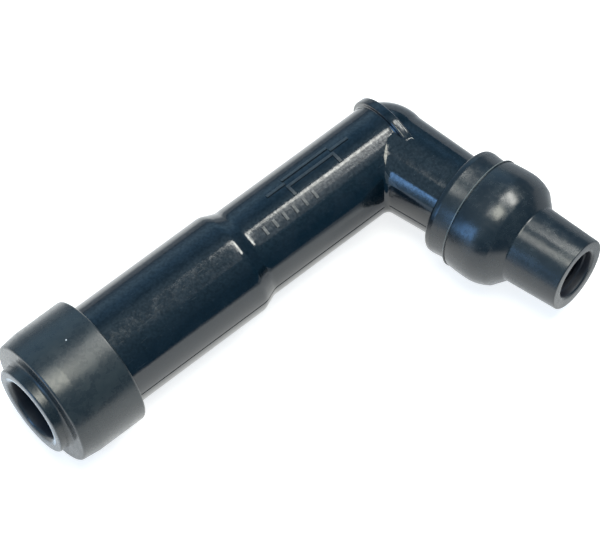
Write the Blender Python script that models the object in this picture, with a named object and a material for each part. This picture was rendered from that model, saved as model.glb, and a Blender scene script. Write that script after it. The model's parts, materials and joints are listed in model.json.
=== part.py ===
"""An angled spark plug cap with a built-in resistor, lying on its side.

Units are metres and +Z is up. The cap is first laid out about its elbow point, where the axes of its
two limbs cross. The long limb runs from there along -X to the mouth for the plug, and the short limb
leans away from it towards -Y, to the nozzle for the ignition lead. Distances along a limb are called
stations, and are counted from the elbow point. At the end the whole cap is tipped on to the three
places that it rests on, with the middle of its footprint at the origin.
"""
import math

import bmesh
import bpy
from mathutils import Matrix, Vector

# Fit between neighbours
SEAT_GAP = 0.0003

# Elbow
ELBOW_ANGLE = math.radians(102)
RIB_RADIUS = 0.00835
RIB_OFFSET = 0.0009
RIB_WIDTH = 0.0015
RIB_ROUND = 0.0003

# Long limb of the housing
LIMB_RADIUS = 0.00755
BARREL_RADIUS = 0.0085
SHOULDER_STATION = 0.0280
SHOULDER_LENGTH = 0.0023
LONG_LENGTH = 0.0640
LIMB_EDGE_ROUND = 0.0006

# Short limb of the housing
SHORT_ROOT_RADIUS = 0.0075
SHORT_NECK_RADIUS = 0.00678
SHORT_NECK_STATION = 0.0130
SHORT_END_RADIUS = 0.0062
SHORT_LENGTH = 0.0255

# Bores of the housing
PLUG_BORE_RADIUS = 0.0059
PLUG_BORE_DEPTH = 0.0300
RESISTOR_BORE_RADIUS = 0.0033
RESISTOR_BORE_FLOOR = 0.0005
LEAD_BORE_RADIUS = 0.00385
LEAD_BORE_FLOOR = 0.0090
BORE_MOUTH_CHAMFER = 0.0005

# Plug boot
BOOT_GRIP = 0.0097
DRUM_RADIUS = 0.01055
DRUM_FRONT_RADIUS = 0.0102
DRUM_TAPER_LENGTH = 0.0030
DRUM_EDGE_ROUND = 0.0004
BOOT_FRONT_WALL = 0.0013
NOSE_LENGTH = 0.0020
NOSE_RADIUS = 0.0073
NOSE_ROOT_FILLET = 0.0007
PLUG_MOUTH_RADIUS = 0.00503
MOUTH_ROUND = 0.0004
PLUG_BEAD_DEPTH = 0.0005
PLUG_BEAD_WIDTH = 0.0024
PLUG_BEAD_SETBACK = 0.0045

# Lead boot
COLLAR_STATION = 0.0140
COLLAR_LENGTH = 0.0036
COLLAR_RADIUS = 0.0086
COLLAR_ROUND = 0.0007
BARREL_STEP_RADIUS = 0.0091
BULGE_RADIUS = 0.00925
BULGE_STATION = 0.0213
BULGE_END_STATION = 0.0252
BULGE_END_RADIUS = 0.0084
NOZZLE_ROOT_STATION = 0.0272
NOZZLE_ROOT_RADIUS = 0.0063
NOZZLE_TIP_STATION = 0.0363
NOZZLE_TIP_RADIUS = 0.0059
NOZZLE_TIP_ROUND = 0.0002
NOZZLE_ROOT_FILLET = 0.0004
LEAD_MOUTH_RADIUS = 0.00386
LEAD_MOUTH_ROUND = 0.0004
LEAD_BEAD_HEIGHT = 0.0006
LEAD_BEAD_WIDTH = 0.0030
LEAD_BEAD_SETBACK = 0.0030

# Plug terminal and its wire clip
SOCKET_OUTER_RADIUS = 0.0046
SOCKET_BORE_RADIUS = 0.00325
SOCKET_DEPTH = 0.0080
SOCKET_FLOOR = 0.0008
FLANGE_RADIUS = 0.0054
FLANGE_THICKNESS = 0.0015
SHANK_RADIUS = 0.0035
SHANK_LENGTH = 0.0050
DRIVER_SLOT_WIDTH = 0.0012
DRIVER_SLOT_DEPTH = 0.0018
CLIP_SETBACK = 0.0034
CLIP_WIRE_RADIUS = 0.0004
CLIP_GROOVE_RADIUS = 0.0041
CLIP_LEG_OFFSET = 0.0033
CLIP_LEG_TAIL = 0.0034

# Resistor, its caps and what presses on them
RESISTOR_RADIUS = 0.0022
RESISTOR_LENGTH = 0.0170
CAP_WALL = 0.0004
CAP_LENGTH = 0.0040
DISC_RADIUS = 0.0029
DISC_THICKNESS = 0.0006
SPRING_RADIUS = 0.0022
SPRING_WIRE_RADIUS = 0.00025
SPRING_TURNS = 6

# Lead screw
STUD_RADIUS = 0.0016
STUD_REACH = 0.0020
SCREW_FLANGE_RADIUS = 0.0033
SCREW_FLANGE_THICKNESS = 0.0010
SCREW_LENGTH = 0.0085
SCREW_CORE_RADIUS = 0.0011
SCREW_TIP_RADIUS = 0.0003
SCREW_CREST_HEIGHT = 0.0006
SCREW_PITCH = 0.0016

# Steps in which round shapes are drawn
LARGE_STEPS = 48
SMALL_STEPS = 24
CORNER_STEPS = 3
BALL_STEPS = 10
SPRING_STEPS = 14
REST_PASSES = 12

# Places worked out from the sizes above
LEAN = ELBOW_ANGLE - math.pi / 2
PLUG_BORE_FLOOR = LONG_LENGTH - PLUG_BORE_DEPTH
FLANGE_STATION = PLUG_BORE_FLOOR + SEAT_GAP
SOCKET_STATION = FLANGE_STATION + FLANGE_THICKNESS
SOCKET_END = SOCKET_STATION + SOCKET_DEPTH
SHANK_END = FLANGE_STATION - SHANK_LENGTH
CLIP_STATION = SOCKET_END - CLIP_SETBACK
BOOT_BACK = LONG_LENGTH - BOOT_GRIP
BOOT_SEAT = LONG_LENGTH + SEAT_GAP
DRUM_FACE = BOOT_SEAT + BOOT_FRONT_WALL
NOSE_FACE = DRUM_FACE + NOSE_LENGTH
STUD_SIDE = STUD_RADIUS * math.cos(LEAN) + STUD_REACH * math.sin(LEAN)
DISC_STATION = STUD_SIDE + SEAT_GAP
REAR_CAP_STATION = DISC_STATION + DISC_THICKNESS + SEAT_GAP
RESISTOR_STATION = REAR_CAP_STATION + CAP_WALL + SEAT_GAP
FRONT_CAP_STATION = RESISTOR_STATION + RESISTOR_LENGTH + SEAT_GAP
SPRING_STATION = FRONT_CAP_STATION + CAP_WALL + SEAT_GAP
SPRING_END = SHANK_END - SEAT_GAP
CAP_RADIUS = RESISTOR_RADIUS + SEAT_GAP + CAP_WALL
SCREW_FLANGE_STATION = LEAD_BORE_FLOOR + SEAT_GAP
SCREW_STATION = SCREW_FLANGE_STATION + SCREW_FLANGE_THICKNESS


def clear_scene():
    """Remove whatever the file holds."""
    for thing in list(bpy.data.objects):
        bpy.data.objects.remove(thing, do_unlink=True)


def finish(name, colour, roughness, metallic=0.0):
    """Return a plain material."""
    material = bpy.data.materials.new(name)
    material.use_nodes = True
    shader = material.node_tree.nodes["Principled BSDF"]
    shader.inputs["Base Color"].default_value = (*colour, 1.0)
    shader.inputs["Roughness"].default_value = roughness
    shader.inputs["Metallic"].default_value = metallic
    return material


def add_object(name, data, material, limb):
    """Put a mesh or a curve on a limb and give it its material."""
    thing = bpy.data.objects.new(name, data)
    bpy.context.scene.collection.objects.link(thing)
    thing.parent = limb
    if material:
        data.materials.append(material)
    return thing


def shade_round(thing):
    """Shade a turned piece smooth, with its edges sharp."""
    thing.data.shade_smooth()
    thing.data.set_sharp_from_angle(angle=math.radians(30))


def rounded(corners):
    """Turn (station, radius, round) corners into outline points, each corner with an arc of its own round.

    A round is limited to what the two sides beside it leave room for.
    """
    points = []
    for index, (station, radius, size) in enumerate(corners):
        here = Vector((station, radius))
        if size <= 0:
            points.append(here)
            continue
        before = Vector(corners[index - 1][:2]) - here
        after = Vector(corners[(index + 1) % len(corners)][:2]) - here
        half = before.angle(after) / 2
        reach = min(size / math.tan(half), before.length * 0.45, after.length * 0.45)
        arc_radius = reach * math.tan(half)
        centre = here + (before.normalized() + after.normalized()).normalized() * arc_radius / math.sin(half)
        start = (here + before.normalized() * reach - centre).normalized()
        end = (here + after.normalized() * reach - centre).normalized()
        for step in range(CORNER_STEPS + 1):
            points.append(centre + start.slerp(end, step / CORNER_STEPS) * arc_radius)
    return points


def turned(name, outline, steps, material, limb):
    """Spin a closed outline of (station, radius) points about the limb's axis.

    An outline that starts and ends on the axis is left open there, and the spin closes it.
    """
    shape = bmesh.new()
    verts = [shape.verts.new((station, 0.0, radius)) for station, radius in outline]
    edges = [shape.edges.new(pair) for pair in zip(verts, verts[1:])]
    if outline[0][1] > 0 or outline[-1][1] > 0:
        edges.append(shape.edges.new((verts[-1], verts[0])))
    bmesh.ops.spin(shape, geom=verts + edges, cent=(0, 0, 0), axis=(1, 0, 0),
                   angle=math.tau, steps=steps, use_merge=True)
    bmesh.ops.remove_doubles(shape, verts=shape.verts, dist=1e-7)
    bmesh.ops.recalc_face_normals(shape, faces=shape.faces)
    mesh = bpy.data.meshes.new(name)
    shape.to_mesh(mesh)
    shape.free()
    thing = add_object(name, mesh, material, limb)
    shade_round(thing)
    return thing


def block(name, low, high, limb):
    """Make a box between two corners, for use as a cutter."""
    shape = bmesh.new()
    bmesh.ops.create_cube(shape, size=1.0)
    low, high = Vector(low), Vector(high)
    bmesh.ops.scale(shape, vec=high - low, verts=shape.verts)
    bmesh.ops.translate(shape, vec=(low + high) / 2, verts=shape.verts)
    mesh = bpy.data.meshes.new(name)
    shape.to_mesh(mesh)
    shape.free()
    return add_object(name, mesh, None, limb)


def combine(body, other, operation):
    """Join another shape to a body, or cut it out, and keep that shape as a guide only."""
    other.hide_render = True
    other.display_type = "WIRE"
    modifier = body.modifiers.new(other.name, "BOOLEAN")
    modifier.operation = operation
    modifier.solver = "EXACT"
    modifier.object = other


def wire(name, points, radius, material, limb):
    """Run a round wire through a list of points, with flat ends."""
    curve = bpy.data.curves.new(name, "CURVE")
    curve.dimensions = "3D"
    curve.bevel_depth = radius
    curve.bevel_resolution = 2
    curve.use_fill_caps = True
    line = curve.splines.new("POLY")
    line.points.add(len(points) - 1)
    for point, place in zip(line.points, points):
        point.co = (*place, 1.0)
    return add_object(name, curve, material, limb)


def long_limb_outline():
    """Outside of the long limb: wide barrel, shoulder, narrow barrel, rib and the ball at the elbow."""
    shoulder_end = SHOULDER_STATION + SHOULDER_LENGTH
    bead_start = LONG_LENGTH - PLUG_BEAD_SETBACK
    bead_end = bead_start - PLUG_BEAD_WIDTH
    groove = BARREL_RADIUS - PLUG_BEAD_DEPTH
    rib_start = -RIB_OFFSET
    rib_end = rib_start - RIB_WIDTH
    corners = [
        (LONG_LENGTH, 0.0, 0.0),
        (LONG_LENGTH, BARREL_RADIUS, LIMB_EDGE_ROUND),
        (bead_start + PLUG_BEAD_DEPTH, BARREL_RADIUS, 0.0),
        (bead_start, groove, 0.0),
        (bead_end, groove, 0.0),
        (bead_end - PLUG_BEAD_DEPTH, BARREL_RADIUS, 0.0),
        (shoulder_end, BARREL_RADIUS, LIMB_EDGE_ROUND),
        (SHOULDER_STATION, LIMB_RADIUS, LIMB_EDGE_ROUND),
        (rib_start, LIMB_RADIUS, 0.0),
        (rib_start, RIB_RADIUS, RIB_ROUND),
        (rib_end, RIB_RADIUS, RIB_ROUND),
    ]
    ball = []
    ball_start = math.asin(min(-rib_end / LIMB_RADIUS, 0.9))
    for step in range(BALL_STEPS + 1):
        angle = ball_start + (math.pi / 2 - ball_start) * step / BALL_STEPS
        ball.append((-LIMB_RADIUS * math.sin(angle), LIMB_RADIUS * math.cos(angle)))
    ball[-1] = (-LIMB_RADIUS, 0.0)
    closing = [*corners, (*ball[0], 0.0)]
    return [tuple(point) for point in rounded(closing)[:-1]] + ball


def short_limb_radius(station):
    """Radius of the tapered part of the short limb."""
    slope = (SHORT_NECK_RADIUS - SHORT_ROOT_RADIUS) / SHORT_NECK_STATION
    return SHORT_ROOT_RADIUS + slope * station


def lead_seat_corners(gap):
    """Surface where the lead boot sits on the short limb, from its collar to the limb's end.

    With a gap it is the inside of the boot, and without one the outside of the limb.
    """
    bead_end = SHORT_LENGTH - LEAD_BEAD_SETBACK
    bead_start = bead_end - LEAD_BEAD_WIDTH
    neck = short_limb_radius(COLLAR_STATION)
    crest = neck + LEAD_BEAD_HEIGHT
    return [
        (COLLAR_STATION, neck + gap, 0.0),
        (bead_start - LEAD_BEAD_HEIGHT, neck + gap, 0.0),
        (bead_start, crest + gap, 0.0),
        (bead_end, crest + gap, 0.0),
        (bead_end + LEAD_BEAD_HEIGHT, neck + gap, 0.0),
        (SHORT_LENGTH + gap, SHORT_END_RADIUS + gap, 0.0),
    ]


def short_limb_outline():
    """Outside of the short limb, from inside the elbow to the end that the lead boot covers."""
    return [
        (0.0, 0.0),
        (0.0, SHORT_ROOT_RADIUS),
        *[corner[:2] for corner in lead_seat_corners(0.0)],
        (SHORT_LENGTH, 0.0),
    ]


def plug_side_bores():
    """Stepped hole from the plug's end: plug bore, bore for the terminal's shank, resistor bore."""
    past_end = LONG_LENGTH + BORE_MOUTH_CHAMFER
    thread_radius = SHANK_RADIUS + SEAT_GAP
    thread_end = SHANK_END - SEAT_GAP
    return [
        (past_end, 0.0),
        (past_end, PLUG_BORE_RADIUS + 2 * BORE_MOUTH_CHAMFER),
        (LONG_LENGTH - BORE_MOUTH_CHAMFER, PLUG_BORE_RADIUS),
        (PLUG_BORE_FLOOR, PLUG_BORE_RADIUS),
        (PLUG_BORE_FLOOR, thread_radius),
        (thread_end, thread_radius),
        (thread_end, RESISTOR_BORE_RADIUS),
        (RESISTOR_BORE_FLOOR, RESISTOR_BORE_RADIUS),
        (RESISTOR_BORE_FLOOR, 0.0),
    ]


def lead_side_bores():
    """Stepped hole from the lead's end: bore for the lead, and the hole that the stud stands in."""
    past_end = SHORT_LENGTH + BORE_MOUTH_CHAMFER
    stud_hole = STUD_RADIUS + SEAT_GAP
    stud_floor = -STUD_REACH - SEAT_GAP
    return [
        (past_end, 0.0),
        (past_end, LEAD_BORE_RADIUS + 2 * BORE_MOUTH_CHAMFER),
        (SHORT_LENGTH - BORE_MOUTH_CHAMFER, LEAD_BORE_RADIUS),
        (LEAD_BORE_FLOOR, LEAD_BORE_RADIUS),
        (LEAD_BORE_FLOOR, stud_hole),
        (stud_floor, stud_hole),
        (stud_floor, 0.0),
    ]


def build_housing(material, long_limb, short_limb):
    """Elbow moulding: two limbs joined, then bored from both ends."""
    housing = turned("housing", long_limb_outline(), LARGE_STEPS, material, long_limb)
    limb = turned("short_limb_guide", short_limb_outline(), LARGE_STEPS, None, short_limb)
    plug_side = turned("plug_side_cutter", plug_side_bores(), SMALL_STEPS, None, long_limb)
    lead_side = turned("lead_side_cutter", lead_side_bores(), SMALL_STEPS, None, short_limb)
    combine(housing, limb, "UNION")
    combine(housing, plug_side, "DIFFERENCE")
    combine(housing, lead_side, "DIFFERENCE")
    return housing


def build_plug_boot(material, limb):
    """Rubber drum with a nose, held by a bead that sits in the groove round the housing."""
    inside = BARREL_RADIUS + SEAT_GAP
    bead_start = LONG_LENGTH - PLUG_BEAD_SETBACK - SEAT_GAP
    bead_end = bead_start - PLUG_BEAD_WIDTH + 2 * SEAT_GAP
    bead = inside - PLUG_BEAD_DEPTH
    corners = [
        (NOSE_FACE, PLUG_MOUTH_RADIUS, MOUTH_ROUND),
        (NOSE_FACE, NOSE_RADIUS, DRUM_EDGE_ROUND),
        (DRUM_FACE, NOSE_RADIUS, NOSE_ROOT_FILLET),
        (DRUM_FACE, DRUM_FRONT_RADIUS, DRUM_EDGE_ROUND),
        (DRUM_FACE - DRUM_TAPER_LENGTH, DRUM_RADIUS, DRUM_TAPER_LENGTH),
        (BOOT_BACK, DRUM_RADIUS, DRUM_EDGE_ROUND),
        (BOOT_BACK, inside, 0.0),
        (bead_end - PLUG_BEAD_DEPTH, inside, 0.0),
        (bead_end, bead, 0.0),
        (bead_start, bead, 0.0),
        (bead_start + PLUG_BEAD_DEPTH, inside, 0.0),
        (BOOT_SEAT, inside, 0.0),
        (BOOT_SEAT, PLUG_MOUTH_RADIUS, 0.0),
    ]
    return turned("plug_boot", rounded(corners), LARGE_STEPS, material, limb)


def bulge_points():
    """Crowned barrel of the lead boot, from its step over the crest to its front edge."""
    start = COLLAR_STATION + COLLAR_LENGTH
    points = []
    for step in range(9):
        station = start + (BULGE_END_STATION - start) * step / 8
        if station < BULGE_STATION:
            share = (BULGE_STATION - station) / (BULGE_STATION - start)
            drop = BULGE_RADIUS - BARREL_STEP_RADIUS
        else:
            share = (station - BULGE_STATION) / (BULGE_END_STATION - BULGE_STATION)
            drop = BULGE_RADIUS - BULGE_END_RADIUS
        points.append((station, BULGE_RADIUS - drop * share ** 2, 0.0))
    return points


def build_lead_boot(material, limb):
    """Rubber boot with a collar, a crowned barrel and a tapered nozzle."""
    collar_end = COLLAR_STATION + COLLAR_LENGTH
    corners = [
        (COLLAR_STATION, COLLAR_RADIUS, COLLAR_ROUND),
        (collar_end, COLLAR_RADIUS, 0.0),
        *bulge_points(),
        (NOZZLE_ROOT_STATION, NOZZLE_ROOT_RADIUS, NOZZLE_ROOT_FILLET),
        (NOZZLE_TIP_STATION, NOZZLE_TIP_RADIUS, NOZZLE_TIP_ROUND),
        (NOZZLE_TIP_STATION, LEAD_MOUTH_RADIUS, LEAD_MOUTH_ROUND),
        (SHORT_LENGTH + SEAT_GAP, LEAD_MOUTH_RADIUS, 0.0),
        *reversed(lead_seat_corners(SEAT_GAP)),
    ]
    return turned("lead_boot", rounded(corners), LARGE_STEPS, material, limb)


def build_plug_terminal(material, limb):
    """Brass socket with a flange and a shank, sawn across for the clip and for a screwdriver."""
    groove_half = CLIP_WIRE_RADIUS + SEAT_GAP
    outline = [
        (SHANK_END, 0.0),
        (SHANK_END, SHANK_RADIUS),
        (FLANGE_STATION, SHANK_RADIUS),
        (FLANGE_STATION, FLANGE_RADIUS),
        (SOCKET_STATION, FLANGE_RADIUS),
        (SOCKET_STATION, SOCKET_OUTER_RADIUS),
        (CLIP_STATION - groove_half, SOCKET_OUTER_RADIUS),
        (CLIP_STATION - groove_half, CLIP_GROOVE_RADIUS),
        (CLIP_STATION + groove_half, CLIP_GROOVE_RADIUS),
        (CLIP_STATION + groove_half, SOCKET_OUTER_RADIUS),
        (SOCKET_END, SOCKET_OUTER_RADIUS),
        (SOCKET_END, SOCKET_BORE_RADIUS),
        (SOCKET_STATION + SOCKET_FLOOR, SOCKET_BORE_RADIUS),
        (SOCKET_STATION + SOCKET_FLOOR, 0.0),
    ]
    terminal = turned("plug_terminal", outline, SMALL_STEPS, material, limb)
    inner = CLIP_LEG_OFFSET - CLIP_WIRE_RADIUS - SEAT_GAP
    outer = SOCKET_OUTER_RADIUS + SEAT_GAP
    for side in (-1, 1):
        low = (CLIP_STATION - groove_half, min(side * inner, side * outer), -outer)
        high = (CLIP_STATION + groove_half, max(side * inner, side * outer), outer)
        combine(terminal, block("clip_cut_%s" % ("left" if side < 0 else "right"), low, high, limb), "DIFFERENCE")
    slot_low = (SOCKET_END - DRIVER_SLOT_DEPTH, -outer, -DRIVER_SLOT_WIDTH / 2)
    slot_high = (SOCKET_END + SEAT_GAP, outer, DRIVER_SLOT_WIDTH / 2)
    combine(terminal, block("driver_slot_cutter", slot_low, slot_high, limb), "DIFFERENCE")
    return terminal


def clip_points():
    """Path of the clip: up one leg, round the back of the socket and down the other leg."""
    back = CLIP_GROOVE_RADIUS + SEAT_GAP + CLIP_WIRE_RADIUS
    corner = math.acos(min(CLIP_LEG_OFFSET / back, 0.99))
    corner_height = back * math.sin(corner)
    ease = math.radians(8)
    steps = 10
    points = [(CLIP_STATION, CLIP_LEG_OFFSET, -CLIP_LEG_TAIL), (CLIP_STATION, CLIP_LEG_OFFSET, corner_height * 0.85)]
    first = corner + ease
    for step in range(steps + 1):
        angle = first + (math.pi - 2 * first) * step / steps
        points.append((CLIP_STATION, back * math.cos(angle), back * math.sin(angle)))
    points.append((CLIP_STATION, -CLIP_LEG_OFFSET, corner_height * 0.85))
    points.append((CLIP_STATION, -CLIP_LEG_OFFSET, -CLIP_LEG_TAIL))
    return points


def spring_points():
    """Path of the coil spring between the resistor's front cap and the terminal's shank."""
    start = SPRING_STATION + SPRING_WIRE_RADIUS
    length = SPRING_END - SPRING_WIRE_RADIUS - start
    count = SPRING_TURNS * SPRING_STEPS
    points = []
    for step in range(count + 1):
        angle = math.tau * SPRING_TURNS * step / count
        station = start + length * step / count
        points.append((station, SPRING_RADIUS * math.cos(angle), SPRING_RADIUS * math.sin(angle)))
    return points


def cap_outline(closed_end, open_end):
    """Thin cup over one end of the resistor, with its floor at the closed end."""
    inward = math.copysign(1.0, open_end - closed_end)
    floor = closed_end + inward * CAP_WALL
    inside = RESISTOR_RADIUS + SEAT_GAP
    return [
        (closed_end, 0.0),
        (closed_end, CAP_RADIUS),
        (open_end, CAP_RADIUS),
        (open_end, inside),
        (floor, inside),
        (floor, 0.0),
    ]


def rod_outline(start, end, radius):
    """Plain round rod or disc."""
    return [(start, 0.0), (start, radius), (end, radius), (end, 0.0)]


def build_resistor(ceramic, brass, limb):
    """Ceramic resistor with its two pressed caps, and the disc behind it."""
    rear_open = REAR_CAP_STATION + CAP_LENGTH
    front_closed = FRONT_CAP_STATION + CAP_WALL
    resistor_end = RESISTOR_STATION + RESISTOR_LENGTH
    disc_end = DISC_STATION + DISC_THICKNESS
    rod = rod_outline(RESISTOR_STATION, resistor_end, RESISTOR_RADIUS)
    turned("resistor_rod", rod, SMALL_STEPS, ceramic, limb)
    turned("resistor_cap_rear", cap_outline(REAR_CAP_STATION, rear_open), SMALL_STEPS, brass, limb)
    turned("resistor_cap_front", cap_outline(front_closed, front_closed - CAP_LENGTH), SMALL_STEPS, brass, limb)
    turned("contact_disc", rod_outline(DISC_STATION, disc_end, DISC_RADIUS), SMALL_STEPS, brass, limb)


def screw_core_radius(station):
    """Radius of the tapering core of the screw."""
    share = (station - SCREW_STATION) / SCREW_LENGTH
    return SCREW_CORE_RADIUS + (SCREW_TIP_RADIUS - SCREW_CORE_RADIUS) * share


def thread_ridge(name, limb):
    """Coarse wood screw thread as one closed ridge that winds along the core and fades at both ends."""
    root_sink = SCREW_CORE_RADIUS * 0.3
    half_width = SCREW_PITCH * 0.3
    first = SCREW_STATION + half_width + SEAT_GAP
    last = SCREW_STATION + SCREW_LENGTH - half_width - SEAT_GAP
    turns = (last - first) / SCREW_PITCH
    count = int(turns * SMALL_STEPS)
    fade_steps = SMALL_STEPS / 2
    shape = bmesh.new()
    rings = []
    for step in range(count + 1):
        angle = math.tau * step / SMALL_STEPS
        station = first + SCREW_PITCH * step / SMALL_STEPS
        core = screw_core_radius(station)
        fade = min(1.0, step / fade_steps, (count - step) / fade_steps)
        crest = core + SCREW_CREST_HEIGHT * max(fade, 0.05) * (0.5 + 0.5 * core / SCREW_CORE_RADIUS)
        across = Vector((0.0, math.cos(angle), math.sin(angle)))
        ring = []
        for shift, radius in ((-half_width, core - root_sink), (0.0, crest), (half_width, core - root_sink)):
            ring.append(shape.verts.new(Vector((station + shift, 0.0, 0.0)) + across * radius))
        rings.append(ring)
    for ring, following in zip(rings, rings[1:]):
        for side in range(3):
            corner = (side + 1) % 3
            shape.faces.new((ring[side], ring[corner], following[corner], following[side]))
    shape.faces.new(rings[0])
    shape.faces.new(rings[-1])
    bmesh.ops.recalc_face_normals(shape, faces=shape.faces)
    mesh = bpy.data.meshes.new(name)
    shape.to_mesh(mesh)
    shape.free()
    return add_object(name, mesh, None, limb)


def build_lead_screw(material, limb):
    """Brass stud across the resistor bore, with a flange and the screw that enters the lead's core."""
    outline = [
        (-STUD_REACH, 0.0),
        (-STUD_REACH, STUD_RADIUS),
        (SCREW_FLANGE_STATION, STUD_RADIUS),
        (SCREW_FLANGE_STATION, SCREW_FLANGE_RADIUS),
        (SCREW_STATION, SCREW_FLANGE_RADIUS),
        (SCREW_STATION, SCREW_CORE_RADIUS),
        (SCREW_STATION + SCREW_LENGTH, SCREW_TIP_RADIUS),
        (SCREW_STATION + SCREW_LENGTH + SCREW_TIP_RADIUS, 0.0),
    ]
    screw = turned("lead_screw", outline, SMALL_STEPS, material, limb)
    combine(screw, thread_ridge("thread_guide", limb), "UNION")
    return screw


def lowest_point(centre, axis, radius, normal):
    """Point of a circle that lies furthest against the normal."""
    across = normal - axis * normal.dot(axis)
    return centre - across.normalized() * radius


def rest_normal(long_axis, short_axis):
    """Upward normal of the plane that the drum, the lead boot and the rib all rest on.

    The plane through the lowest points of three circles is worked out again from its own normal until
    it settles.
    """
    drum = (long_axis * (BOOT_BACK + DRUM_EDGE_ROUND), long_axis, DRUM_RADIUS)
    bulge = (short_axis * BULGE_STATION, short_axis, BULGE_RADIUS)
    rib = (-long_axis * (RIB_OFFSET + RIB_WIDTH - RIB_ROUND), long_axis, RIB_RADIUS)
    normal = Vector((0.0, 0.0, 1.0))
    for _ in range(REST_PASSES):
        first, second, third = (lowest_point(*circle, normal) for circle in (drum, bulge, rib))
        normal = (second - first).cross(third - first).normalized()
        if normal.z < 0:
            normal.negate()
    return normal


def lay_down(root, normal, long_axis):
    """Turn the cap so that the rest plane is level, with the long limb still along X."""
    level_x = -(long_axis - normal * long_axis.dot(normal)).normalized()
    level_y = normal.cross(level_x)
    root.rotation_euler = Matrix((level_x, level_y, normal)).to_euler()


def centre_footprint(root):
    """Move the cap so that the middle of its footprint is the origin and its lowest point is at zero."""
    bpy.context.view_layer.update()
    shapes = bpy.context.evaluated_depsgraph_get()
    corners = []
    for thing in bpy.context.scene.objects:
        if thing.type == "EMPTY" or thing.hide_render:
            continue
        solid = thing.evaluated_get(shapes)
        mesh = solid.to_mesh()
        corners.extend(solid.matrix_world @ vert.co for vert in mesh.vertices)
        solid.to_mesh_clear()
    low = [min(corner[axis] for corner in corners) for axis in range(3)]
    high = [max(corner[axis] for corner in corners) for axis in range(3)]
    root.location = (-(low[0] + high[0]) / 2, -(low[1] + high[1]) / 2, -low[2])
    bpy.context.view_layer.update()


def main():
    """Build the cap and lay it down."""
    clear_scene()
    phenolic = finish("black_phenolic", (0.012, 0.014, 0.016), 0.22)
    rubber = finish("black_rubber", (0.028, 0.030, 0.033), 0.55)
    brass = finish("brass", (0.76, 0.56, 0.24), 0.30, 1.0)
    steel = finish("spring_steel", (0.60, 0.60, 0.62), 0.30, 1.0)
    ceramic = finish("ceramic", (0.82, 0.80, 0.74), 0.45)

    root = bpy.data.objects.new("cap_frame", None)
    long_limb = bpy.data.objects.new("long_limb_axis", None)
    short_limb = bpy.data.objects.new("short_limb_axis", None)
    for empty in (root, long_limb, short_limb):
        bpy.context.scene.collection.objects.link(empty)
    long_limb.parent = root
    short_limb.parent = root
    long_limb.rotation_euler = (0.0, 0.0, math.pi)
    short_limb.rotation_euler = (0.0, 0.0, math.pi + ELBOW_ANGLE)

    build_housing(phenolic, long_limb, short_limb)
    build_plug_boot(rubber, long_limb)
    build_lead_boot(rubber, short_limb)
    build_plug_terminal(brass, long_limb)
    wire("snap_clip", clip_points(), CLIP_WIRE_RADIUS, steel, long_limb)
    wire("contact_spring", spring_points(), SPRING_WIRE_RADIUS, steel, long_limb)
    build_resistor(ceramic, brass, long_limb)
    build_lead_screw(brass, short_limb)

    long_axis = Vector((-1.0, 0.0, 0.0))
    short_axis = Vector((math.cos(math.pi + ELBOW_ANGLE), math.sin(math.pi + ELBOW_ANGLE), 0.0))
    lay_down(root, rest_normal(long_axis, short_axis), long_axis)
    centre_footprint(root)


if __name__ == "__main__":
    main()
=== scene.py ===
"""Looks of an angled spark plug cap: a black moulded elbow with two rubber boots and its inner parts.

Lengths are metres. Round pieces are turned about a limb's axis in the limb's own frame, +X away from
the elbow and +Z up, and are then laid on that limb. A station is a distance along a limb's axis from
the elbow point, where the two axes cross.
"""
import json
import logging
import math
from dataclasses import dataclass, fields
from enum import Enum
from typing import Any, ClassVar, Iterable, Optional

import bpy
from mathutils import Matrix, Vector


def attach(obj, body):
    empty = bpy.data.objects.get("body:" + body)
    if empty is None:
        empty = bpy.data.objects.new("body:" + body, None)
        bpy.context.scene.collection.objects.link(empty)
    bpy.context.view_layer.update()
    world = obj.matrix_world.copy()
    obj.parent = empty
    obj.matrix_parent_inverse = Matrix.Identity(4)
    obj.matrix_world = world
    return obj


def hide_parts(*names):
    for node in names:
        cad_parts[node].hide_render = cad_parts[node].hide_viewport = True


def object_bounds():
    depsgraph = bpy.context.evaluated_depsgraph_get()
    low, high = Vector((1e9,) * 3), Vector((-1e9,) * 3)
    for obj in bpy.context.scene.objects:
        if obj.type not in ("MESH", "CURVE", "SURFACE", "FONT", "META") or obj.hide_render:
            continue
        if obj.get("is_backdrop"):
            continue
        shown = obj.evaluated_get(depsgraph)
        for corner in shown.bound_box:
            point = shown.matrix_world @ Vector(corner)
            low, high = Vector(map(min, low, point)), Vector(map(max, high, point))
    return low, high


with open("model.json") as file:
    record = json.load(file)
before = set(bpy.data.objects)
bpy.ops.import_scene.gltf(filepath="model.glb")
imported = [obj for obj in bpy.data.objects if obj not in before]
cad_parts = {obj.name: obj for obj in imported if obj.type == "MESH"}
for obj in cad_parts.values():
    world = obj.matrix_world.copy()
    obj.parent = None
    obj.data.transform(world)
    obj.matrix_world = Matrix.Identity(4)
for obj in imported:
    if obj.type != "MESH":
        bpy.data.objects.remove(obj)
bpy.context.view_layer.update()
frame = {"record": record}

log = logging.getLogger("spark_plug_cap")
Outline = list[tuple[float, float]]
Colour = tuple[float, float, float]
Shape = bpy.types.Object
Node = bpy.types.Node
Socket = bpy.types.NodeSocket
MERGE = 0.000001
TOUCH = 0.00002
FINE_STEPS = 192
SMALL_STEPS = 96


class Limb(Enum):
    """The two limbs of the elbow."""

    LONG = "long"
    SHORT = "short"


class Join(Enum):
    """What a Boolean modifier does with the other shape."""

    UNION = "UNION"
    CUT = "DIFFERENCE"


class Slot(Enum):
    """The record's material slots."""

    PHENOLIC = "phenolic"
    RUBBER = "rubber"
    BRASS = "brass"
    STEEL = "spring_steel"
    CERAMIC = "ceramic"


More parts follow.
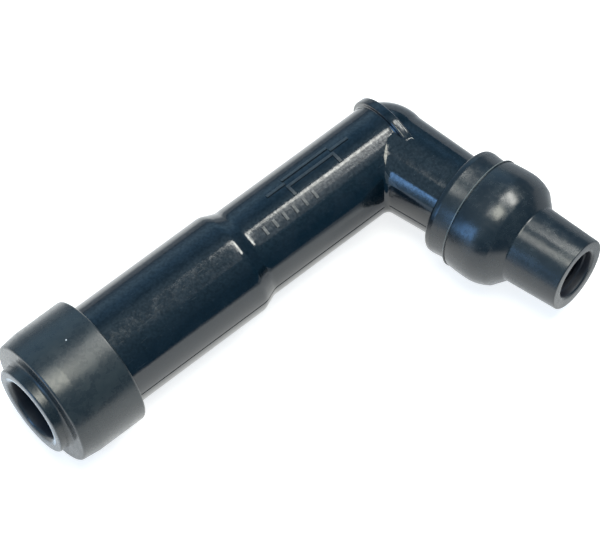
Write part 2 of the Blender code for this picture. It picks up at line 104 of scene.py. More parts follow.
@dataclass(frozen=True)
class Corner:
    """One corner of a turned outline, with the radius that rounds it."""

    station: float
    radius: float
    round: float = 0.0


@dataclass(frozen=True)
class Layout:
    """Where the limbs lie, read from the mounts on the faces round the two mouths.

    Attributes:
        plug_ring: distance of the plug mount's point from the long limb's axis.
        lead_ring: distance of the lead mount's point from the short limb's axis.
    """

    plug_ring: float = 0.006165
    lead_ring: float = 0.00488

    def mount(self, name: str) -> tuple[Vector, Vector]:
        """Return a mount's point and its outward axis.

        Args:
            name: the mount's name in the record.
        """
        for mount in frame["record"]["mounts"]:
            if mount["name"] == name:
                return Vector(mount["pos_m"]), Vector(mount["axis"]).normalized()
        raise KeyError(name)

    def axis(self, limb: Limb) -> Vector:
        """Return the direction of a limb, away from the elbow."""
        return self.mount("plug_mouth_face" if limb is Limb.LONG else "lead_mouth_face")[1]

    def up(self) -> Vector:
        """Return the normal of the plane that both limbs lie in."""
        return self.axis(Limb.LONG).cross(self.axis(Limb.SHORT)).normalized()

    def elbow(self) -> Vector:
        """Return the point where the two axes cross."""
        plug, long_axis = self.mount("plug_mouth_face")
        lead, short_axis = self.mount("lead_mouth_face")
        plug = plug - self.up() * self.plug_ring
        lead = lead - self.up() * self.lead_ring
        gap = lead - plug
        overlap = long_axis.dot(short_axis)
        along = (gap.dot(long_axis) - gap.dot(short_axis) * overlap) / (1 - overlap ** 2)
        return plug + long_axis * along

    def matrix(self, limb: Limb) -> Matrix:
        """Return the placing of a limb's frame: +X along the limb, +Z up, origin at the elbow point."""
        forward, up = self.axis(limb), self.up()
        side = up.cross(forward)
        turn = Matrix((forward, side, up)).transposed().to_4x4()
        return Matrix.Translation(self.elbow()) @ turn

    def station(self, name: str) -> float:
        """Return how far a mount's face is from the elbow point, along its own axis."""
        point, axis = self.mount(name)
        return (point - self.elbow()).dot(axis)


LAYOUT = Layout()
NOSE_FACE = LAYOUT.station("plug_mouth_face")
LEAD_TIP = LAYOUT.station("lead_mouth_face")


class Bench:
    """Short calls for modelling with operators."""

    @staticmethod
    def only(thing: Shape) -> None:
        """Select one object alone and make it the active one."""
        bpy.ops.object.select_all(action="DESELECT")
        thing.select_set(True)
        bpy.context.view_layer.objects.active = thing

    @staticmethod
    def apply(thing: Shape, modifier: bpy.types.Modifier) -> None:
        """Apply one modifier."""
        Bench.only(thing)
        bpy.ops.object.modifier_apply(modifier=modifier.name)

    @staticmethod
    def combine(body: Shape, others: Iterable[Shape], join: Join) -> None:
        """Join shapes to a body, or cut them out of it, and remove them.

        Args:
            body: the piece that stays.
            others: closed shapes in the same space.
            join: what to do with them.
        """
        for other in others:
            modifier = body.modifiers.new(other.name, "BOOLEAN")
            modifier.operation = join.value
            modifier.solver = "EXACT"
            modifier.object = other
            Bench.apply(body, modifier)
            bpy.data.objects.remove(other, do_unlink=True)

    @staticmethod
    def lay(thing: Shape, limb: Limb) -> Shape:
        """Move a shape from its limb's frame to its place and bake that place into its mesh."""
        thing.matrix_world = LAYOUT.matrix(limb)
        Bench.only(thing)
        bpy.ops.object.transform_apply(location=True, rotation=True, scale=True)
        return thing

    @staticmethod
    def smooth(thing: Shape, degrees: float = 32.0) -> None:
        """Shade smooth, with edges sharper than an angle kept sharp."""
        Bench.only(thing)
        bpy.ops.object.shade_smooth_by_angle(angle=math.radians(degrees), keep_sharp_edges=False)

    @staticmethod
    def finished(thing: Shape, limb: Limb) -> Shape:
        """Lay a piece on its limb, shade it smooth and return it."""
        Bench.smooth(Bench.lay(thing, limb))
        return thing

    @staticmethod
    def path(name: str, places: list[Vector], closed: bool = False) -> Shape:
        """Draw a chain of edges through a list of places and stay in edit mode.

        Args:
            name: name of the new object.
            places: points of the chain, in order.
            closed: whether the last point is joined to the first.

        Returns:
            The new object, in edit mode.
        """
        bpy.ops.object.select_all(action="DESELECT")
        bpy.ops.mesh.primitive_plane_add(size=0.001)
        thing = bpy.context.object
        thing.name = name
        bpy.ops.object.mode_set(mode="EDIT")
        bpy.ops.mesh.select_all(action="SELECT")
        bpy.ops.mesh.merge(type="CENTER")
        bpy.ops.transform.translate(value=places[0])
        for here, following in zip(places, places[1:]):
            bpy.ops.mesh.extrude_region_move(TRANSFORM_OT_translate={"value": following - here})
        if closed:
            bpy.ops.mesh.extrude_region_move(TRANSFORM_OT_translate={"value": places[0] - places[-1]})
        bpy.ops.mesh.select_all(action="SELECT")
        bpy.ops.mesh.remove_doubles(threshold=MERGE)
        return thing

    @staticmethod
    def join(things: list[Shape]) -> Shape:
        """Make one object of several shapes that don't cross each other.

        Args:
            things: the shapes, in object mode.
        """
        Bench.only(things[0])
        for thing in things[1:]:
            thing.select_set(True)
        bpy.ops.object.join()
        return bpy.context.object

    @staticmethod
    def loft(name: str, sections: list[list[Vector]]) -> Shape:
        """Draw closed sections, bridge them in order and fill both ends.

        Args:
            name: name of the new object.
            sections: the sections, each with the same number of points.

        Returns:
            The closed body.
        """
        rings = []
        for section in sections:
            rings.append(Bench.path(name, section, closed=True))
            bpy.ops.object.mode_set(mode="OBJECT")
        thing = Bench.join(rings)
        bpy.ops.object.mode_set(mode="EDIT")
        bpy.ops.mesh.select_all(action="SELECT")
        bpy.ops.mesh.bridge_edge_loops()
        bpy.ops.mesh.select_all(action="SELECT")
        bpy.ops.mesh.fill_holes(sides=0)
        return Bench.close(thing)

    @staticmethod
    def close(thing: Shape) -> Shape:
        """Merge a mesh's doubles, turn its faces outwards and leave edit mode."""
        bpy.ops.mesh.select_all(action="SELECT")
        bpy.ops.mesh.remove_doubles(threshold=MERGE)
        bpy.ops.mesh.normals_make_consistent(inside=False)
        bpy.ops.object.mode_set(mode="OBJECT")
        return thing

    @staticmethod
    def block(name: str, low: Vector, high: Vector) -> Shape:
        """Add a box between two corners, for use as a cutter."""
        bpy.ops.object.select_all(action="DESELECT")
        bpy.ops.mesh.primitive_cube_add(size=1.0, location=(low + high) / 2, scale=high - low)
        thing = bpy.context.object
        thing.name = name
        bpy.ops.object.transform_apply(location=True, rotation=True, scale=True)
        return thing


class Lathe:
    """Turns outlines into bodies of revolution about +X."""

    corner_steps = 8
    longest_reach = 0.48

    @classmethod
    def rounded(cls, corners: list[Corner]) -> Outline:
        """Replace each corner that has a round by an arc tangent to its two sides.

        Args:
            corners: corners of a closed outline, in order.

        Returns:
            The outline's points as (station, radius).
        """
        points: Outline = []
        for index, corner in enumerate(corners):
            here = Vector((corner.station, corner.radius))
            if corner.round <= 0:
                points.append(tuple(here))
                continue
            last, following = corners[index - 1], corners[(index + 1) % len(corners)]
            before = Vector((last.station, last.radius)) - here
            after = Vector((following.station, following.radius)) - here
            half = before.angle(after) / 2
            room = min(before.length, after.length) * cls.longest_reach
            reach = min(corner.round / math.tan(half), room)
            size = reach * math.tan(half)
            middle = (before.normalized() + after.normalized()).normalized()
            centre = here + middle * size / math.sin(half)
            start = (here + before.normalized() * reach - centre).normalized()
            end = (here + after.normalized() * reach - centre).normalized()
            for step in range(cls.corner_steps + 1):
                points.append(tuple(centre + start.slerp(end, step / cls.corner_steps) * size))
        return points

    @staticmethod
    def stepped(outline: Outline, longest: float) -> Outline:
        """Return an outline with more points along its sides.

        Args:
            outline: the outline's points.
            longest: length that no side passes.
        """
        points = [outline[0]]
        for here, following in zip(outline, outline[1:]):
            count = max(1, math.ceil(math.dist(here, following) / longest))
            for step in range(1, count + 1):
                share = step / count
                points.append((here[0] + (following[0] - here[0]) * share,
                               here[1] + (following[1] - here[1]) * share))
        return points

    @staticmethod
    def body(name: str, outline: Outline, steps: int, turn: float = math.tau,
             start: float = 0.0) -> Shape:
        """Draw an outline point by point, spin it about the axis and close it.

        Args:
            name: name of the new object.
            outline: (station, radius) points, closed unless it starts and ends on the axis.
            steps: steps in which it is spun.
            turn: angle of the spin; less than a full turn gives a wedge with flat ends.
            start: angle from +Z towards +Y at which the outline is drawn; the spin goes back from there.

        Returns:
            The turned object, in its limb's frame.
        """
        across = Vector((0.0, math.sin(start), math.cos(start)))
        places = [Vector((station, 0.0, 0.0)) + across * radius for station, radius in outline]
        thing = Bench.path(name, places, closed=outline[0][1] > 0 or outline[-1][1] > 0)
        if turn < math.tau:
            bpy.ops.mesh.edge_face_add()
            bpy.ops.mesh.select_all(action="SELECT")
        bpy.ops.mesh.spin(steps=steps, angle=turn, center=(0, 0, 0), axis=(1, 0, 0), use_auto_merge=True)
        return Bench.close(thing)

    @classmethod
    def laid(cls, name: str, outline: Outline, limb: Limb, steps: int) -> Shape:
        """Return a body turned from an outline and laid on its limb."""
        return Bench.lay(cls.body(name, outline, steps), limb)

    @classmethod
    def turned(cls, name: str, corners: list[Corner], limb: Limb, steps: int) -> Shape:
        """Return a piece that is turned from rounded corners, smooth and in its place."""
        return Bench.finished(cls.body(name, cls.rounded(corners), steps), limb)


class Wire:
    """Runs round wire along a path."""

    @staticmethod
    def place(station: float, radius: float, angle: float) -> Vector:
        """Return the point at a radius and an angle about the limb's axis."""
        return Vector((station, radius * math.cos(angle), radius * math.sin(angle)))

    @staticmethod
    def body(name: str, places: list[Vector], radius: float, thinning: Optional[list[float]] = None,
             resolution: int = 3) -> Shape:
        """Draw a path, give it a round section and make it a closed mesh.

        Args:
            name: name of the new object.
            places: points of the path.
            radius: radius of the wire.
            thinning: share of that radius at each point, full all along if left out.
            resolution: how finely the section is drawn.

        Returns:
            The wire, in its limb's frame.
        """
        thing = Bench.path(name, places)
        bpy.ops.object.mode_set(mode="OBJECT")
        bpy.ops.object.convert(target="CURVE")
        thing = bpy.context.object
        line = thing.data.splines[0]
        forward = (Vector(line.points[0].co[:3]) - places[0]).length < MERGE
        for index, point in enumerate(line.points):
            share = (thinning or [1.0] * len(places))[index if forward else -1 - index]
            point.radius = share
        thing.data.bevel_depth = radius
        thing.data.bevel_resolution = resolution
        thing.data.use_fill_caps = True
        bpy.ops.object.convert(target="MESH")
        thing = bpy.context.object
        bpy.ops.object.mode_set(mode="EDIT")
        return Bench.close(thing)


class Graph:
    """Short calls for a node tree."""

    def __init__(self, tree: bpy.types.NodeTree) -> None:
        """Keep the tree that nodes are added to."""
        self.tree = tree

    def feed(self, node: Node, inputs: dict[Any, Any]) -> None:
        """Set a node's sockets.

        Args:
            node: the node.
            inputs: for each socket, a value or the socket that feeds it.
        """
        for key, value in inputs.items():
            if isinstance(value, Socket):
                self.tree.links.new(value, node.inputs[key])
            else:
                node.inputs[key].default_value = value

    def node(self, kind: str, inputs: dict[Any, Any], **settings: Any) -> Node:
        """Add a node.

        Args:
            kind: the node's type name without its ShaderNode start.
            inputs: for each socket, a value or the socket that feeds it.
            settings: the node's own properties.

        Returns:
            The new node.
        """
        node = self.tree.nodes.new("ShaderNode" + kind)
        for key, value in settings.items():
            setattr(node, key, value)
        self.feed(node, inputs)
        return node

    def math(self, operation: str, *values: Any) -> Socket:
        """Return the result of a Math node."""
        return self.node("Math", dict(enumerate(values)), operation=operation).outputs[0]

    def product(self, first: Any, *others: Any) -> Socket:
        """Return the product of several values."""
        for other in others:
            first = self.math("MULTIPLY", first, other)
        return first

    def between(self, share: Socket, low: float, high: float) -> Socket:
        """Return a number that goes from low to high as a share goes from 0 to 1."""
        return self.math("MULTIPLY_ADD", share, high - low, low)

    def spread(self, value: Socket, low: Any, high: Any, to_low: float = 0.0, to_high: float = 1.0) -> Socket:
        """Return a value spread smoothly from one range on to another."""
        inputs = {"Value": value, "From Min": low, "From Max": high, "To Min": to_low, "To Max": to_high}
        return self.node("MapRange", inputs, interpolation_type="SMOOTHSTEP").outputs[0]

    def mix(self, share: Socket, first: Any, second: Any) -> Socket:
        """Return a number mixed from two by a share."""
        return self.node("Mix", {0: share, 2: first, 3: second}).outputs[0]

    def blend(self, share: Socket, first: Any, second: Any) -> Socket:
        """Return a colour mixed from two by a share."""
        colours = [(*one, 1.0) if isinstance(one, tuple) else one for one in (first, second)]
        return self.node("Mix", {0: share, 6: colours[0], 7: colours[1]}, data_type="RGBA").outputs[2]

    def ramp(self, share: Socket, stops: list[tuple[float, Colour]]) -> Socket:
        """Return a colour that runs through stops.

        Args:
            share: where to read it, from 0 to 1.
            stops: each stop's place and colour, in order.
        """
        node = self.node("ValToRGB", {0: share})
        elements = node.color_ramp.elements
        for _ in stops[2:]:
            elements.new(0.5)
        for element, (place, _) in zip(elements, stops):
            element.position = place
        for element, (_, colour) in zip(elements, stops):
            element.color = (*colour, 1.0)
        return node.outputs[0]

    def places(self) -> Socket:
        """Return the surface's place in metres."""
        return self.node("TexCoord", {}).outputs["Object"]

    def limb_places(self, limb: Limb) -> Socket:
        """Return the surface's place in a limb's frame: station, side and up."""
        matrix = LAYOUT.matrix(limb)
        inputs = {"Vector": self.places(), "Location": matrix.translation, "Rotation": matrix.to_euler()}
        return self.node("Mapping", inputs, vector_type="TEXTURE").outputs[0]

    def parts(self, place: Socket) -> list[Socket]:
        """Return the three parts of a vector, which are station, side and up in a limb's frame."""
        return list(self.node("SeparateXYZ", {0: place}).outputs)

    def radius(self, place: Socket) -> Socket:
        """Return the distance from the limb's axis."""
        _, side, up = self.parts(place)
        flat = self.node("CombineXYZ", {1: side, 2: up}).outputs[0]
        return self.node("VectorMath", {0: flat}, operation="LENGTH").outputs["Value"]

    def dress(self, shader: Node, colour: Socket, rough: Socket, height: Socket) -> None:
        """Feed a shader its colour, its roughness and a bump from a height in metres."""
        bump = self.node("Bump", {"Height": height, "Distance": 1.0, "Strength": 1.0})
        self.feed(shader, {"Base Color": colour, "Roughness": rough, "Normal": bump.outputs[0]})


class Effect:
    """An effect that more than one finish uses: a node group that is built once.

    The fields of each kind are the group's number sockets, and an instance holds a finish's values for them.
    """

    built: ClassVar[dict[str, bpy.types.NodeTree]] = {}
    output: ClassVar[str] = "Mask"

    @staticmethod
    def draw(graph: Graph, given: dict[str, Socket]) -> Socket:
        """Add the group's nodes.

        Args:
            graph: the group's graph.
            given: its inputs by name: Place and the fields, each with a capital letter.

        Returns:
            The socket that the group puts out.
        """
        raise NotImplementedError

    def group(self) -> bpy.types.NodeTree:
        """Return the node group of this kind of effect, which is built at its first use."""
        name = type(self).__name__.lower()
        if name in self.built:
            return self.built[name]
        tree = bpy.data.node_groups.new(name, "ShaderNodeTree")
        tree.interface.new_socket("Place", in_out="INPUT", socket_type="NodeSocketVector")
        for field in fields(self):
            socket = tree.interface.new_socket(
                field.name.title(), in_out="INPUT", socket_type="NodeSocketFloat")
            socket.default_value = field.default
        tree.interface.new_socket(self.output, in_out="OUTPUT", socket_type="NodeSocketFloat")
        source = tree.nodes.new("NodeGroupInput")
        target = tree.nodes.new("NodeGroupOutput")
        graph = Graph(tree)
        given = {socket.name: socket for socket in source.outputs if socket.name}
        graph.feed(target, {self.output: self.draw(graph, given)})
        self.built[name] = tree
        return tree

    def over(self, graph: Graph, place: Socket) -> Socket:
        """Return the effect, placed in a material with its own values."""
        values = {field.name.title(): getattr(self, field.name) for field in fields(self)}
        return graph.node("Group", {"Place": place, **values}, node_tree=self.group()).outputs[0]


@dataclass(frozen=True)
class Mottle(Effect):
    """Cloudy patches of a given size, in metres, as a mask from 0 to 1."""

    size: float = 0.001
    low: float = 0.4
    high: float = 0.6

    @staticmethod
    def draw(graph: Graph, given: dict[str, Socket]) -> Socket:
        """Return noise, spread between the low and the high level."""
        scale = graph.math("DIVIDE", 1.0, given["Size"])
        noise = graph.node("TexNoise", {"Vector": given["Place"], "Scale": scale, "Detail": 4.0})
        return graph.spread(noise.outputs[0], given["Low"], given["High"])


@dataclass(frozen=True)
class Grain(Effect):
    """A fine even grain of a given size as a height, with a share of a coarser one."""

    size: float = 0.0002
    coarse: float = 0.3
    output: ClassVar[str] = "Height"
    coarser: ClassVar[float] = 6.0

    @staticmethod
    def draw(graph: Graph, given: dict[str, Socket]) -> Socket:
        """Return the sum of a fine noise and a coarse one."""
        scale = graph.math("DIVIDE", 1.0, given["Size"])
        coarse_scale = graph.math("DIVIDE", scale, Grain.coarser)
        fine = graph.node("TexNoise", {"Vector": given["Place"], "Scale": scale, "Detail": 3.0})
        coarse = graph.node("TexNoise", {"Vector": given["Place"], "Scale": coarse_scale, "Detail": 2.0})
        return graph.math("ADD", fine.outputs[0], graph.product(coarse.outputs[0], given["Coarse"]))


@dataclass(frozen=True)
class Scratches(Effect):
    """Sparse fine scratches that run mostly along +X, as a mask from 0 to 1."""

    length: float = 0.006
    width: float = 0.00006
    rarity: float = 0.72
    sway_scale: ClassVar[float] = 160.0
    sway: ClassVar[float] = 0.0006
    softness: ClassVar[float] = 0.05

    @staticmethod
    def draw(graph: Graph, given: dict[str, Socket]) -> Socket:
        """Return the peaks of a noise that is drawn out along +X and bent a little."""
        along = graph.math("DIVIDE", 1.0, given["Length"])
        across = graph.math("DIVIDE", 1.0, given["Width"])
        stretch = graph.node("CombineXYZ", {0: along, 1: across, 2: across}).outputs[0]
        sway = graph.node(
            "TexNoise", {"Vector": given["Place"], "Scale": Scratches.sway_scale, "Detail": 1.0})
        inputs = {0: sway.outputs[1], 1: (Scratches.sway,) * 3, 2: given["Place"]}
        bent = graph.node("VectorMath", inputs, operation="MULTIPLY_ADD").outputs[0]
        drawn = graph.node("VectorMath", {0: bent, 1: stretch}, operation="MULTIPLY").outputs[0]
        lines = graph.node("TexNoise", {"Vector": drawn, "Scale": 1.0, "Detail": 1.0})
        top = graph.math("ADD", given["Rarity"], Scratches.softness)
        inputs = {"Value": lines.outputs[0], "From Min": given["Rarity"], "From Max": top}
        return graph.node("MapRange", inputs).outputs[0]


@dataclass(frozen=True)
class Specks(Effect):
    """Scattered round specks as a mask from 0 to 1, the speck's size as a share of the spacing."""

    spacing: float = 0.003
    speck: float = 0.03
    unevenness: ClassVar[float] = 3.0

    @staticmethod
    def draw(graph: Graph, given: dict[str, Socket]) -> Socket:
        """Return a disc of its own size in the middle of each cell."""
        scale = graph.math("DIVIDE", 1.0, given["Spacing"])
        cells = graph.node("TexVoronoi", {"Vector": given["Place"], "Scale": scale})
        chance = graph.node("SeparateColor", {0: cells.outputs["Color"]}).outputs[0]
        size = graph.math("MULTIPLY", given["Speck"], graph.math("POWER", chance, Specks.unevenness))
        return graph.math("LESS_THAN", cells.outputs["Distance"], size)


def material_graph(name: str) -> tuple[bpy.types.Material, Graph, Node]:
    """Start a material.

    Args:
        name: the material's name.

    Returns:
        The material, its graph and its Principled shader.
    """
    material = bpy.data.materials.new(name)
    material.use_nodes = True
    return material, Graph(material.node_tree), material.node_tree.nodes["Principled BSDF"]


@dataclass(frozen=True)
class Phenolic:
    """Glossy black moulding resin, smooth on the narrow barrel and duller and mottled on the wide one."""

    colour: Colour = (0.0022, 0.0066, 0.0112)
    cloud: Colour = (0.0050, 0.0095, 0.0145)
    barrel_colour: Colour = (0.0034, 0.0070, 0.0110)
    dust: Colour = (0.16, 0.17, 0.18)
    dust_share: float = 0.6
    gloss: float = 0.09
    barrel: float = 0.07
    worn: float = 0.52
    uneven: float = 0.03
    barrel_start: float = 0.0296
    barrel_blend: float = 0.0008
    clouds: Mottle = Mottle(0.0022, 0.42, 0.64)
    patches: Mottle = Mottle(0.0009, 0.45, 0.6)
    film: Mottle = Mottle(0.0004, 0.34, 0.66)
    scratches: Scratches = Scratches(rarity=0.74)
    specks: Specks = Specks(0.0042, 0.028)
    peel: Grain = Grain(0.0011, 1.5)
    peel_height: float = 0.000004
    ripple: Grain = Grain(0.0006, 1.0)
    ripple_height: float = 0.0000035
    fine: Grain = Grain(0.00024, 0.5)
    fine_height: float = 0.0000035
    sheen: tuple[float, float] = (0.36, 0.62)
    sheen_side: float = 0.5
    sheen_heights: tuple[float, float] = (0.0030, 0.0062)
    mark_level: float = 0.00764
    mark_start: float = 0.004
    mark_end: float = 0.0272
    mark_bottom: float = 0.004
    mark_dust: Colour = (0.022, 0.028, 0.033)
    mark_rough: float = 0.34
    index: float = 1.6

    def raised(self, graph: Graph, place: Socket) -> Socket:
        """Return 1 on the tops of the raised marks, which are worn and dusty, and 0 elsewhere.

        Args:
            graph: the material's graph.
            place: the surface's place in the long limb's frame.
        """
        station, _, up = graph.parts(place)
        return graph.product(
            graph.math("GREATER_THAN", graph.radius(place), self.mark_level),
            graph.math("LESS_THAN", station, self.mark_end),
            graph.math("GREATER_THAN", station, self.mark_start),
            graph.math("GREATER_THAN", up, self.mark_bottom),
        )

    def material(self) -> bpy.types.Material:
        """Return the finish as a material."""
        material, graph, shader = material_graph("black_phenolic_moulding")
        place = graph.limb_places(Limb.LONG)
        station, _, up = graph.parts(place)
        barrel = graph.spread(station, self.barrel_start, self.barrel_start + self.barrel_blend)
        cloud = self.clouds.over(graph, place)
        dust = graph.product(self.specks.over(graph, place), self.dust_share)
        raised = self.raised(graph, place)
        colour = graph.blend(barrel, self.colour, self.barrel_colour)
        colour = graph.blend(cloud, colour, self.cloud)
        colour = graph.blend(dust, colour, self.dust)
        colour = graph.blend(raised, colour, self.mark_dust)
        rough = graph.between(barrel, self.gloss, self.barrel)
        rough = graph.math("MULTIPLY_ADD", self.patches.over(graph, place), self.uneven, rough)
        rough = graph.math("ADD", rough, graph.product(cloud, barrel, self.uneven))
        rough = graph.math("MULTIPLY_ADD", self.scratches.over(graph, place), self.worn - self.gloss, rough)
        rough = graph.math("MULTIPLY_ADD", raised, self.mark_rough - self.gloss, rough)
        height = graph.product(self.peel.over(graph, place), self.peel_height)
        ripple = graph.product(self.ripple.over(graph, place), barrel, self.ripple_height)
        height = graph.math("ADD", height, ripple)
        height = graph.math("MULTIPLY_ADD", self.fine.over(graph, place), self.fine_height, height)
        graph.dress(shader, colour, rough, height)
        film = graph.between(self.film.over(graph, place), *self.sheen)
        sheen = graph.mix(graph.spread(up, *self.sheen_heights), self.sheen_side, film)
        graph.feed(shader, {"Specular IOR Level": sheen, "IOR": self.index})
        return material


@dataclass(frozen=True)
class Rubber:
    """Soft black rubber with a satin skin, a fine grain and a faint pale bloom.

    Attributes:
        limb: the limb that the boot is on.
        bore: radius within which the skin is rougher and painted darker, a painted shade inside the hole.
        pale_band: stations between which the skin is painted pale; on the lead boot this is a painted
            highlight along the lip.
        lip: inner and outer radius of a ring round the mouth that carries a painted highlight on its upper
            side, and the station where it starts.
        specks: places of single white specks, in the limb's frame.
    """

    limb: Limb
    bore: float
    pale_band: tuple[float, float]
    lip: Optional[tuple[float, float, float]] = None
    specks: tuple[tuple[float, float, float], ...] = ()
    satin: float = 0.25
    dull: float = 0.34
    speck_size: float = 0.00011
    colour: Colour = (0.015, 0.020, 0.023)
    bloom: Colour = (0.027, 0.034, 0.036)
    bloom_share: float = 0.6
    dust: Colour = (0.22, 0.22, 0.22)
    dust_share: float = 0.7
    scratch_share: float = 0.12
    # Colour painted on the pale band; on the lead boot it is a painted highlight along the lip.
    edge: Colour = (0.13, 0.14, 0.13)
    white: Colour = (0.75, 0.76, 0.78)
    # Colour of the painted highlight on the upper edge of the mouth.
    lip_highlight_colour: Colour = (0.62, 0.65, 0.68)
    lip_blend: float = 0.0001
    lip_lean: float = 0.5
    lip_heights: tuple[float, float] = (-0.0012, 0.0020)
    # Painted shade inside the hole.
    bore_shade_colour: Colour = (0.008, 0.010, 0.018)
    bore_rough: float = 0.6
    bore_blend: float = 0.0002
    blooming: Mottle = Mottle(0.0028, 0.40, 0.68)
    patches: Mottle = Mottle(0.0007, 0.42, 0.62)
    dusting: Specks = Specks(0.0034, 0.03)
    scratches: Scratches = Scratches(length=0.004, rarity=0.75)
    grain: Grain = Grain(0.00022, 2.0)
    grain_height: float = 0.000004
    index: float = 1.58

    def pale_band_mask(self, graph: Graph, place: Socket) -> Socket:
        """Return 1 on the band that is painted pale and 0 elsewhere."""
        station = graph.parts(place)[0]
        low, high = self.pale_band
        return graph.product(graph.math("GREATER_THAN", station, low), graph.math("LESS_THAN", station, high))

    def ring(self, graph: Graph, place: Socket) -> Socket:
        """Return 1 on the upper half of the mouth's edge, which carries a painted highlight, and 0 elsewhere.

        Args:
            graph: the material's graph.
            place: the surface's place in the limb's frame.
        """
        station, side, up = graph.parts(place)
        radius = graph.radius(place)
        inner, outer, start = self.lip
        above = graph.math("MULTIPLY_ADD", side, self.lip_lean, up)
        return graph.product(
            graph.spread(radius, inner, inner + self.lip_blend),
            graph.spread(radius, outer - self.lip_blend, outer, 1.0, 0.0),
            graph.math("GREATER_THAN", station, start),
            graph.spread(above, *self.lip_heights),
        )

    def material(self) -> bpy.types.Material:
        """Return the finish as a material."""
        material, graph, shader = material_graph("black_rubber_" + self.limb.value + "_boot")
        place = graph.limb_places(self.limb)
        bloom = self.blooming.over(graph, place)
        scratches = graph.product(self.scratches.over(graph, place), self.scratch_share)
        dust = graph.product(self.dusting.over(graph, place), self.dust_share)
        colour = graph.blend(graph.product(bloom, self.bloom_share), self.colour, self.bloom)
        colour = graph.blend(scratches, colour, self.dust)
        colour = graph.blend(dust, colour, self.dust)
        # The pale band is painted pale; on the lead boot it is a painted highlight along the lip's crest.
        colour = graph.blend(self.pale_band_mask(graph, place), colour, self.edge)
        # Painted highlight: the upper side of the mouth's edge is painted pale.
        if self.lip:
            colour = graph.blend(self.ring(graph, place), colour, self.lip_highlight_colour)
        for speck in self.specks:
            away = graph.node("VectorMath", {0: place, 1: speck}, operation="DISTANCE").outputs["Value"]
            colour = graph.blend(graph.math("LESS_THAN", away, self.speck_size), colour, self.white)
        half = (self.dull - self.satin) / 2
        rough = graph.math("MULTIPLY_ADD", self.patches.over(graph, place), half, self.satin)
        rough = graph.math("MULTIPLY_ADD", bloom, half, rough)
        # Painted shade: inside the bore the skin is painted darker, and it is made rougher.
        inside = graph.spread(graph.radius(place), self.bore, self.bore + self.bore_blend, 1.0, 0.0)
        colour = graph.blend(inside, colour, self.bore_shade_colour)
        rough = graph.mix(inside, rough, self.bore_rough)
        graph.dress(shader, colour, rough, graph.product(self.grain.over(graph, place), self.grain_height))
        graph.feed(shader, {"IOR": self.index})
        return material


@dataclass(frozen=True)
class TurnedMetal:
    """Metal with fine lines from turning or drawing, and a thin uneven tarnish."""

    name: str
    limb: Limb
    colour: Colour
    tarnish: Colour
    tarnish_share: float = 0.75
    polish: float = 0.2
    tarnished: float = 0.42
    stains: Mottle = Mottle(0.0012, 0.44, 0.66)
    line_pitch: float = 0.00012
    line_height: float = 0.000003

    def material(self) -> bpy.types.Material:
        """Return the finish as a material."""
        material, graph, shader = material_graph(self.name)
        place = graph.limb_places(self.limb)
        rings = graph.math("ADD", graph.parts(place)[0], graph.radius(place))
        inputs = {"W": rings, "Scale": 1.0 / self.line_pitch, "Detail": 2.0}
        lines = graph.node("TexNoise", inputs, noise_dimensions="1D").outputs[0]
        stains = self.stains.over(graph, place)
        colour = graph.blend(graph.product(stains, self.tarnish_share), self.colour, self.tarnish)
        rough = graph.between(stains, self.polish, self.tarnished)
        graph.dress(shader, colour, rough, graph.product(lines, self.line_height))
        graph.feed(shader, {"Metallic": 1.0})
        return material


@dataclass(frozen=True)
class Ceramic:
    """Matte fired ceramic with small dark inclusions."""

    colour: Colour = (0.70, 0.66, 0.58)
    shade: Colour = (0.52, 0.47, 0.39)
    speck: Colour = (0.20, 0.16, 0.12)
    matte: float = 0.5
    chalky: float = 0.68
    shading: Mottle = Mottle(0.0016, 0.38, 0.68)
    inclusions: Specks = Specks(0.0008, 0.12)
    grain: Grain = Grain(0.00012, 1.0)
    grain_height: float = 0.000006

    def material(self) -> bpy.types.Material:
        """Return the finish as a material."""
        material, graph, shader = material_graph("fired_ceramic")
        place = graph.places()
        shade = self.shading.over(graph, place)
        colour = graph.blend(shade, self.colour, self.shade)
        colour = graph.blend(self.inclusions.over(graph, place), colour, self.speck)
        rough = graph.between(shade, self.matte, self.chalky)
        graph.dress(shader, colour, rough, graph.product(self.grain.over(graph, place), self.grain_height))
        return material


def fit_out(piece: Shape, material: bpy.types.Material, node: str) -> None:
    """Dress a finished piece, hang it under the root and hide the CAD node that it replaces.

    Args:
        piece: the piece, in place.
        material: its material.
        node: the CAD node that it replaces.
    """
    piece.data.materials.clear()
    piece.data.materials.append(material)
    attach(piece, "root")
    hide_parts(node)
    log.info("%s: %d faces", piece.name, len(piece.data.polygons))


